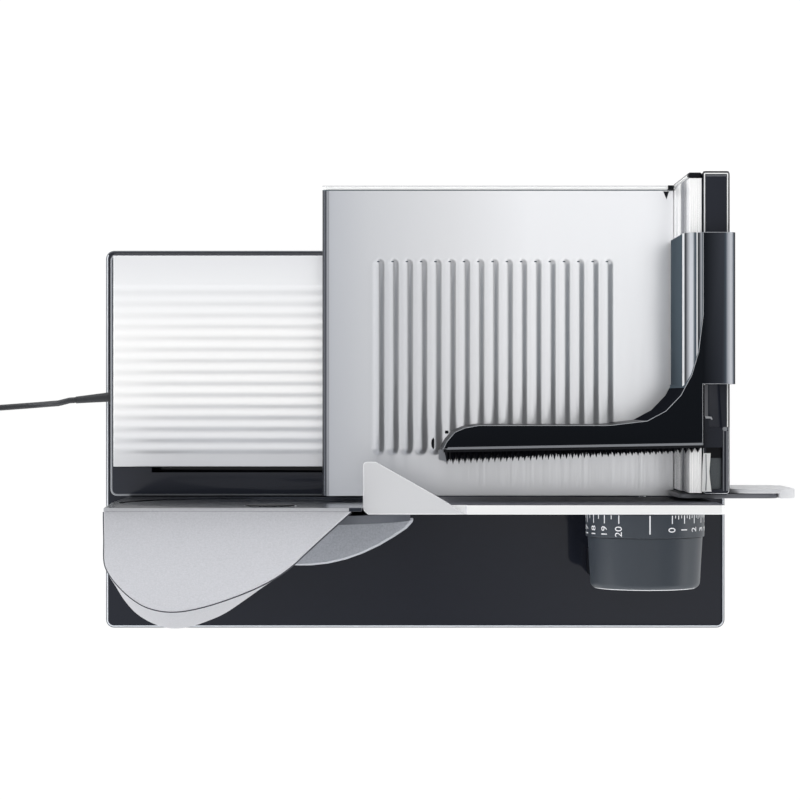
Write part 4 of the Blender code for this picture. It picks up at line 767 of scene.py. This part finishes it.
def shapedHolder():
    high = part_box("food_holder")[1]
    bm = mergedCopy("food_holder")
    tipEnd = spot(saddle["tipEnd"], 0, 0)
    cutAt(bm, tipEnd, (1, 0, 0))
    for (x, y), (nextX, nextY) in zip(saddle["tip"], saddle["tip"][1:]):
        arm = [face for face in bm.faces if middleOf(face).x < tipEnd.x]
        cutAt(bm, spot(x, y, 0), (y - nextY, nextX - x, 0), arm, True)
    litRim(bm, saddle["rim"], 1, 2, 0.75)
    litFrom = spot(0, saddle["lit"], 0)
    cutAt(bm, litFrom, (0, 1, 0))
    filletFrom, sideFrom = spot(0, saddle["fillet"], 0).y, high.x - saddle["sideZone"] * mm
    for share in spread(0, 1, saddle["slices"]):  # fine strips on the roundings, to carry the bands
        across, up = blend(saddle["skirt"], saddle["pad"], share), blend(saddle["low"], saddle["high"], share)
        cutAt(bm, spot(across, 0, 0), (1, 0, 0), facesPast(bm, 1, filletFrom))
        cutAt(bm, spot(0, 0, up), (0, 0, 1), facesPast(bm, 1, filletFrom))
        cutAt(bm, high - Vector((saddle["round"] * share * mm, 0, 0)), (1, 0, 0), facesPast(bm, 0, sideFrom))
    shoulder, side = [], []
    for face in bm.faces:
        middle = middleOf(face)
        if face.material_index > 0 or face.normal.z < 0.05:
            continue
        leftOfPad = middle.x < spot(saddle["pad"] + 0.4, 0, 0).x
        if leftOfPad and middle.z < saddle["top"] * mm and middle.y > litFrom.y:
            shoulder.append(face)
        elif middle.x > sideFrom:
            side.append(face)
    lightBands(bm, "black", [(shoulder, saddle["shoulder"]), (side, saddle["side"])])
    lit = set(shoulder)
    armEnd, pad = spot(saddle["armEnd"], 0, 0).x, spot(saddle["pad"], 0, 0).x
    # Upright faces of the skirt and the fillet take painted shade: dark, and slate past the lit line
    for face in bm.faces:  # upright faces of the skirt and the fillet, which mirror nothing bright
        middle = middleOf(face)
        upright = face.material_index == 0 and abs(face.normal.z) < 0.3 and face.normal.y > -0.2
        if face not in lit and upright and armEnd < middle.x < pad:
            face.material_index = 4 if middle.y > litFrom.y else 3
    finishPiece("shapedHolder", bm, [bandedNylon, paintedRimLight, rimGrey, paintedRimShade, paintedSlateShade], "food_holder")


# Spike plate: rows of four-sided spikes that get shorter to the right, and a top row over the wall
spikes = {
    "left": 98.5, "right": 233.2, "first": 77, "rows": 10, "rowPitch": 9.3, "pitch": 3.35, "long": 7.2,
    "short": 3.2, "base": 0.9, "topBase": 1.75, "lowBase": 1.4, "lowReach": 0.82, "sheet": 1.5, "low": 73,
    "overWall": 158.6, "top": 167.6, "borderTop": 168.03, "front": ((97.5, 31.3), (243.9, 33.9)),
    "bracket": [(95.7, 31), (99.4, 31.6), (100.5, 28.2), (101, 23.7), (98.8, 24.9), (95.7, 25.7)],
}


# Near side of the holder's arm, which leans a little
def frontAt(x):
    (left, near), (right, far) = spikes["front"]
    return blend(near, far, (x - left) / (right - left))


def spikeStrip():
    bm = bmesh.new()
    left, right, end = spikes["left"], spikes["right"], saddle["pad"] - 0.4
    for first, last, low in ((left, right, spikes["low"]), (right, end, spikes["overWall"])):
        near, far = frontAt(first), frontAt(last)
        outline = [(first, near), (last, far), (last, far - spikes["sheet"]), (first, near - spikes["sheet"])]
        addPrism(bm, outline, low, spikes["top"])
    for row in range(spikes["rows"]):
        z = spikes["first"] + row * spikes["rowPitch"]
        top = row == spikes["rows"] - 1
        base = spikes["base"] * spikes["topBase" if top else "lowBase"]
        x = left + 2 + (row % 3) / 3 * spikes["pitch"]
        while x < (end if top else right) - 2:
            reach = blend(spikes["long"], spikes["short"], (x - left) / (right - left))
            face = frontAt(x) - spikes["sheet"]
            point = bm.verts.new(spot(x, face - reach * (1 if top else spikes["lowReach"]), z))
            around = ((base, 0), (0, base * 1.5), (-base, 0), (0, -base * 1.5))
            corners = [bm.verts.new(spot(x + aside, face, z + up)) for aside, up in around]
            bm.faces.new(corners)
            for index in range(4):
                bm.faces.new((corners[index - 1], corners[index], point))
            x += spikes["pitch"]
    addPrism(bm, spikes["bracket"], 158, 161, 1)
    # A thin grey strip along the top of the arm's front edge: a painted highlight
    frontHighlight = [(x, frontAt(x) + wide) for x, wide in ((100, 0), (end, 0), (end, 1.3), (100.9, 1.3))]
    addPrism(bm, frontHighlight, spikes["top"], spikes["borderTop"], 1)
    bmesh.ops.recalc_face_normals(bm, faces=bm.faces)
    finishPiece("spikeStrip", bm, [satinNylon, rimGrey], "spike_plate")


shapedHolder()
spikeStrip()
print("carriage made")

# Motor housing and its cover, drawn smooth from shares of its plan: ridge line and belly line
shell = {
    "left": -86, "front": -1.5, "back": -9.6, "reach": 56.8, "belly": 70.7, "middle": -35,
    "table": 13.7, "bellyHeight": 120, "ridgeHeight": 185, "roof": 221.5, "fall": 42, "power": 1.3,
    "thick": 3, "seam": 0.9, "seamDepth": 0.8, "under": 104.2, "underFrom": -25, "detail": 5, "edge": 1.2,
    "across": 14, "turns": 4, "lift": 0.25,
    "ridge": [
        (0, 0), (-0.004, 0.255), (-0.01, 0.5), (0.01, 0.635), (0.045, 0.755), (0.09, 0.865), (0.142, 0.948),
        (0.206, 0.993), (0.27, 1), (0.337, 0.977), (0.405, 0.935), (0.479, 0.877), (0.562, 0.8), (0.64, 0.713),
        (0.708, 0.616), (0.768, 0.505), (0.801, 0.43), (0.876, 0.264), (0.944, 0.118), (1, 0),
    ],
    "bellyLine": [
        (-0.03, 0), (-0.04, 0.205), (-0.056, 0.403), (-0.054, 0.545), (-0.025, 0.644), (0.014, 0.769),
        (0.067, 0.881), (0.139, 0.963), (0.213, 1), (0.288, 0.99), (0.36, 0.948), (0.442, 0.881), (0.528, 0.774),
        (0.61, 0.663), (0.685, 0.566), (0.746, 0.468), (0.794, 0.379), (0.869, 0.245), (0.94, 0.113), (1, 0),
    ],
    "lower": ((0, 0.8), (0.15, 0.82), (0.43, 0.9), (0.72, 0.97), (1, 1)),
}
shell["width"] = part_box("motor_cover")[1].x / mm + axisLeft - shell["left"]


def housingLine(name):
    points = [Vector((x, y, 0)) for x, y in shell[name]]
    shares = spread(0, 1, shell["detail"])[:-1]
    return [curvePoint(points, i, t) for i in range(len(points) - 1) for t in shares] + [points[-1]]


def roofHeight(y, drop):
    back = max(shell["front"] - y, 0) / shell["reach"]
    return shell["roof"] - drop - shell["fall"] * back ** shell["power"]


# Plan place of a point that lies a share of the way from the ridge line to the belly line
def planAt(ridge, belly, share, scale):
    x = shell["left"] + shell["width"] * blend(ridge.x, belly.x, share)
    depth = blend(ridge.y * shell["reach"], belly.y * shell["belly"], share)
    return shell["middle"] + (x - shell["middle"]) * scale, shell["front"] - depth * scale


def shellSpot(ridge, belly, height, end):
    if height < shell["bellyHeight"]:
        up = (height - shell["table"]) / (shell["bellyHeight"] - shell["table"])
        rows = shell["lower"]
        (low, lowScale), (high, highScale) = next(pair for pair in zip(rows, rows[1:]) if up <= pair[1][0])
        return planAt(ridge, belly, 1, blend(lowScale, highScale, (up - low) / (high - low)))
    up = min((height - shell["bellyHeight"]) / (min(shell["ridgeHeight"], end) - shell["bellyHeight"]), 1)
    return planAt(ridge, belly, 1 - up ** 1.4, 1)


def gridFaces(bm, rows, finish=0):
    lines = [[bm.verts.new(spot(*place)) for place in row] for row in rows]
    for first, second in zip(lines, lines[1:]):
        for index in range(len(first) - 1):
            face = bm.faces.new((first[index], first[index + 1], second[index + 1], second[index]))
            face.material_index = finish


def housingPiece(name, bm, finish, node):
    bmesh.ops.remove_doubles(bm, verts=bm.verts, dist=0.01 * mm)
    bmesh.ops.recalc_face_normals(bm, faces=bm.faces)
    finishPiece(name, bm, finish, node, 50)


def housingShell():
    bm = bmesh.new()
    columns = []
    belly, crest = shell["bellyHeight"], shell["ridgeHeight"]
    for ridgePoint, bellyPoint in zip(housingLine("ridge"), housingLine("bellyLine")):
        top = planAt(ridgePoint, bellyPoint, 0, 1)
        if top[1] > shell["back"] - 1 and ridgePoint.x > 0.5:
            continue
        end = roofHeight(top[1], shell["thick"] + shell["seam"])
        start = shell["under"] if top[0] > shell["underFrom"] else shell["table"]
        heights = spread(start, belly, 8)[:-1] + spread(belly, crest, 12)[:-1]
        line = []
        for height in [min(height, end) for height in heights] + [end]:
            x, y = shellSpot(ridgePoint, bellyPoint, height, end)
            line.append((x, min(y, shell["back"]), height))
        columns.append([(line[0][0], shell["back"], line[0][2])] + line)
    gridFaces(bm, columns)
    housingPiece("housingShell", bm, silverPaint, "motor_housing")


def housingCover():
    bm = bmesh.new()
    rim = [planAt(a, b, 0, 1) for a, b in zip(housingLine("ridge"), housingLine("bellyLine"))]
    edge = shell["edge"]
    rows = []
    for index, (x, y) in enumerate(rim):
        startX = shell["left"] + shell["width"] * index / (len(rim) - 1)
        start = Vector((startX, shell["front"] + shell["lift"]))
        way = Vector((x, y)) - start
        reach = max(way.length, 0.01)
        flat = max(reach - edge, 0)
        runs = [(run, 0) for run in spread(0, flat, shell["across"])]
        for turn in spread(0, quarterTurn, shell["turns"])[1:]:
            runs.append((flat + min(edge, reach) * math.sin(turn), edge * (1 - math.cos(turn))))
        places = [(start + way / reach * run, drop) for run, drop in runs]
        rows.append([(place.x, place.y, roofHeight(place.y, drop)) for place, drop in places])
        rows[-1].append((x, y, roofHeight(y, shell["thick"])))
    gridFaces(bm, rows)
    # A dark band down the inner side of the cover's rim: the painted shadow of the gap between cover and shell
    seam = []
    for (x, y), (nextX, nextY) in zip(rim, rim[1:] + [rim[-1]]):
        along = Vector((nextX - x, nextY - y, 0))
        if along.length < 0.001:
            along = Vector((rim[-1][0] - rim[-2][0], rim[-1][1] - rim[-2][1], 0))
        inwards = Vector((-along.y, along.x, 0)).normalized() * -shell["seamDepth"]
        high, low = [roofHeight(y, shell["thick"] + drop) for drop in (-0.1, shell["seam"] + 0.1)]
        inner = (x + inwards.x, y + inwards.y)
        seam.append([(x, y, high), (*inner, high), (*inner, low), (x, y, low)])
    gridFaces(bm, seam, 1)
    housingPiece("housingCover", bm, [silverPaint, paintedSeamShadow], "motor_cover")


# Tower sheet: mirror front, top edge painted with the housing as far as the housing goes
sheet = {"painted": 46.5, "round": 0.3}


def towerSheet():
    bm = mergedCopy("tower_sheet")
    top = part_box("tower_sheet")[1].z
    paintEnd = spot(sheet["painted"], 0, 0)
    cutAt(bm, paintEnd, (1, 0, 0))
    for face in bm.faces:
        middle = middleOf(face)
        if face.normal.z > 0.5 and middle.z > top - mm and middle.x < paintEnd.x:
            face.material_index = 1
    roundEdges(finishPiece("towerSheet", bm, [sheetSteel, silverPaint], "tower_sheet"), sheet["round"], 2, 60)


housingShell()
housingCover()
towerSheet()
paintNodes(framePaint, "tower_frame")
paintNodes(deflectorPaint, "slice_deflector")
paintNodes(mirrorSteel, "blade")
paintNodes(zincSteel, "blade_shaft", "idler_axle", "motor_pinion", "motor_shaft", "motor")
paintNodes(acetal, "blade_gear", "idler_gear", "cam_drum")
paintNodes(bronze, "blade_bush", "rod_bush_left", "rod_bush_right")
paintNodes(chromeSteel, "guide_rail", "guide_rod_left", "guide_rod_right")
paintNodes(chromeSteel, "dial_spindle", "dial_screw", "cam_follower")
roundedCopy("blade_lock", satinNylon, 0.2)
roundedCopy("cam_post", anodised, 0.5)
roundedCopy("stop_pedestal", satinNylon, 0.8)
print("tower made")


# Stop plate: a painted highlight on its top edge and painted shade on its inner face
def stopPlate():
    bm = mergedCopy("stop_plate")
    for face in bm.faces:
        if face.normal.y > 0.7:
            face.material_index = 1
        elif face.normal.z > 0.7:
            face.material_index = 2
    roundEdges(finishPiece("stopPlate", bm, [anodised, dullAluminium, brightAluminiumAndHighlight], "stop_plate"), 0.5)


stopPlate()
roundedCopy("stop_bracket", anodised, 0.4)
roundedCopy("finger_guard", paleAbs, 0.8)

# Dial: a turned knob and its scale ring, with a painted highlight all round its front edge
dial = {
    "x": 217.9, "z": 85, "ring": 34.7, "ringWall": 3.4, "ringBack": -7.3, "ringFront": -20.7,
    "ringRound": 0.5, "grip": 33.6, "front": 32.1, "end": -51.2, "round": 4, "wall": 2.5, "boss": 2.3,
    "bossBack": -7.9, "gap": 0.3, "steps": 128,
}


def turnedPiece(name, chain, finish, node):
    bm = bmesh.new()
    rings = []
    for radius, y in chain:
        turns = spread(0, fullTurn, dial["steps"])[:-1]
        middle = spot(dial["x"], y, dial["z"])
        places = [middle + Vector((math.sin(turn), 0, math.cos(turn))) * radius * mm for turn in turns]
        rings.append([bm.verts.new(place) for place in places])
    for before, ring in zip([rings[-1]] + rings, rings):
        for step in range(dial["steps"]):
            bm.faces.new((before[step - 1], before[step], ring[step], ring[step - 1]))
    bmesh.ops.remove_doubles(bm, verts=bm.verts, dist=0.005 * mm)
    bmesh.ops.recalc_face_normals(bm, faces=bm.faces)
    return finishPiece(name, bm, finish, node)


def smoothDial():
    inner, small = dial["ring"] - dial["ringWall"], dial["ringRound"]
    ring = [(inner, dial["ringBack"]), (inner, dial["ringFront"])]
    for turn in (0, 0.5, 1.1, quarterTurn):
        radius = dial["ring"] - small * (1 - math.sin(turn))
        ring.append((radius, dial["ringFront"] + small * (1 - math.cos(turn))))
    turnedPiece("dialRing", ring + [(dial["ring"], dial["ringBack"])], dialAbs, "dial_scale_ring")
    boss, fit, shoulder = inner - dial["boss"], inner - dial["gap"], dial["ringFront"] - dial["gap"]
    chain = [(boss, dial["bossBack"]), (fit, dial["bossBack"]), (fit, shoulder), (dial["grip"], shoulder)]
    for turn in spread(0, quarterTurn, 8):
        radius = dial["front"] - dial["round"] * (1 - math.cos(turn))
        chain.append((radius, dial["end"] + dial["round"] * (1 - math.sin(turn))))
    inside = dial["end"] + dial["wall"]
    chain += [(0.2, dial["end"]), (0.2, inside), (boss, inside)]
    knob = turnedPiece("dialKnob", chain, [dialAbs, paintedRimHighlight], "dial_knob")
    # A band of the front rounding takes a painted highlight, all round the knob
    for face in knob.data.polygons:
        if 0.84 < -face.normal.y < 0.93:
            face.material_index = 1


smoothDial()

# Printed scale: a tick for each step of the dial and a figure for each millimetre of slice
scale = {
    "zero": 22.15, "degrees": 13.9, "growth": 0.0735, "last": 20, "digit": 6.4, "ink": 0.12, "start": 0.2,
    "index": (11, 0.75), "whole": (5, 0.6), "half": (2.5, 0.5), "quarter": (1.9, 0.4), "quartersTo": 5,
    "figures": 8.6, "wideFigures": 9.6,
}


# Wraps a flat mark, made at zero, round the scale ring at an angle and adds it to the print
def printMark(whole, bm, angle, along):
    low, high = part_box("dial_scale_ring")
    radius, centre = (high.z - low.z) / 2, (low + high) / 2
    for vert in bm.verts:
        turn = angle - vert.co.y / radius
        reach = radius + vert.co.z + 0.02 * mm
        place = high.y - vert.co.x - along * mm
        vert.co = Vector((centre.x + reach * math.sin(turn), place, centre.z + reach * math.cos(turn)))
    mesh = bpy.data.meshes.new("mark")
    bm.to_mesh(mesh)
    bm.free()
    whole.from_mesh(mesh)
    bpy.data.meshes.remove(mesh)


def printBar(whole, angle, end, width):
    bm = bmesh.new()
    bmesh.ops.create_cube(bm, size=1)
    bmesh.ops.scale(bm, vec=((end - scale["start"]) * mm, width * mm, scale["ink"] * mm), verts=bm.verts)
    printMark(whole, bm, angle, (scale["start"] + end) / 2)


def printFigure(whole, angle, value):
    text = bpy.data.curves.new("figure", "FONT")
    text.body = str(value)
    text.size = scale["digit"] * mm
    text.align_x = "CENTER"
    text.align_y = "CENTER"
    text.extrude = scale["ink"] / 2 * mm
    text.resolution_u = 3
    figure = bpy.data.objects.new("figure", text)
    scene.collection.objects.link(figure)
    mesh = bpy.data.meshes.new_from_object(figure)
    bm = bmesh.new()
    bm.from_mesh(mesh)
    bpy.data.objects.remove(figure)
    bpy.data.meshes.remove(mesh)
    for vert in bm.verts:
        vert.co.x = -vert.co.x
    printMark(whole, bm, angle, scale["wideFigures"] if value > 9 else scale["figures"])


def dialPrint():
    whole = bmesh.new()
    printBar(whole, 0, *scale["index"])
    for quarter in range(scale["last"] * 4 + 1):
        value = quarter / 4
        angle = math.radians(scale["zero"] + scale["degrees"] * value + scale["growth"] * value ** 2)
        if quarter % 4 == 0:
            printBar(whole, angle, *scale["whole"])
            printFigure(whole, angle, quarter // 4)
        elif quarter % 2 == 0:
            printBar(whole, angle, *scale["half"])
        elif value < scale["quartersTo"]:
            printBar(whole, angle, *scale["quarter"])
    bmesh.ops.recalc_face_normals(whole, faces=whole.faces)
    finishPiece("dialFigures", whole, whiteInk, "dial_knob", adds=True)


dialPrint()
roundedCopy("switch_frame", satinNylon, 0.3)
paintNodes(glossAbs, "switch_button")
print("dial and switch made")


# Floor: pale to the camera, plain to everything else
def paleFloor():
    bm = bmesh.new()
    bmesh.ops.create_grid(bm, x_segments=1, y_segments=1, size=3)
    mesh = bpy.data.meshes.new("floor")
    bm.to_mesh(mesh)
    bm.free()
    floor = bpy.data.objects.new("floor", mesh)
    scene.collection.objects.link(floor)
    mat = newFinish("paleFloor", "f4f4f4", 0.9)
    nodes = mat.node_tree.nodes
    rays = addNode(mat, "LightPath").outputs
    glow = addNode(mat, "Emission", {"Strength": 1.06})
    looks = {0: rays["Is Camera Ray"], 1: rays["Is Glossy Ray"]}
    seen = addNode(mat, "Math", {"operation": "MAXIMUM"}, looks)
    part = addNode(mat, "Math", {"operation": "MULTIPLY", 1: 0.9}, {0: seen.outputs[0]})
    parts = {0: part.outputs[0], 1: nodes["Principled BSDF"].outputs[0], 2: glow.outputs[0]}
    addNode(mat, "MixShader", {}, parts, {0: nodes["Material Output"].inputs["Surface"]})
    mesh.materials.append(mat)


# Sky: even white overhead that darkens to the right, above a bright ring near the horizon
sky = {
    "ring": 4.2, "lean": (0.46, 0.17, 0), "ringTop": (0.2, 0.3),
    "byHeight": ((0, 0.9), (0.08, 1), (0.15, 1), (0.24, 0.15), (1, 0.15)),
    "bySide": ((0, 1), (0.4, 1.05), (0.475, 0.86), (0.545, 1.35), (0.61, 1.25), (0.7, 0.3), (1, 0.3)),
}


def studioSky():
    world = bpy.data.worlds.new("studio")
    scene.world = world
    world.use_nodes = True
    back = world.node_tree.nodes["Background"].inputs
    back["Color"].default_value = hexColour("ffffff")
    way = addNode(world, "TexCoord").outputs["Generated"]
    height = addNode(world, "SeparateXYZ", {}, {0: way}).outputs["Z"]
    low = addNode(world, "ValToRGB", {}, {0: height})
    lean = addNode(world, "VectorMath", {"operation": "DOT_PRODUCT", 1: sky["lean"]}, {0: way})
    side = addNode(world, "Math", {"operation": "ADD", 1: 0.5}, {0: lean.outputs["Value"]})
    high = addNode(world, "ValToRGB", {}, {0: side.outputs[0]})
    for node, table in ((low, sky["byHeight"]), (high, sky["bySide"])):
        stops = node.color_ramp.elements
        for place, level in table:
            stop = stops[0] if place == 0 else stops[-1] if place == 1 else stops.new(place)
            stop.color = (level, level, level, 1)
    start, end = sky["ringTop"]
    above = addNode(world, "MapRange", {"From Min": start, "From Max": end}, {"Value": height})
    ring = addNode(world, "Math", {"operation": "MULTIPLY", 1: sky["ring"]}, {0: low.outputs[0]})
    both = {0: above.outputs["Result"], 2: ring.outputs[0], 3: high.outputs[0]}
    addNode(world, "Mix", {"data_type": "FLOAT"}, both, {0: back["Strength"]})


# Two soft lamps, left and in front, aimed at the middle of the slicer
lamps = {
    "softLeft": {"place": (-1.6, 0.2, 0.9), "size": 0.8, "power": 1.2},
    "softFront": {"place": (0.3, -1.5, 0.8), "size": 0.9, "power": 0.8},
}


def softLamps():
    for name, values in lamps.items():
        lamp = bpy.data.lights.new(name, "AREA")
        lamp.size = values["size"]
        lamp.energy = values["power"]
        lampObject = bpy.data.objects.new(name, lamp)
        lampObject.location = values["place"]
        aim = Vector((0, 0, 0.05)) - Vector(values["place"])
        lampObject.rotation_euler = aim.to_track_quat("-Z", "Y").to_euler()
        lampObject.visible_glossy = False
        scene.collection.objects.link(lampObject)


paleFloor()
studioSky()
softLamps()
scene.view_settings.view_transform = "Standard"
print("lights set")
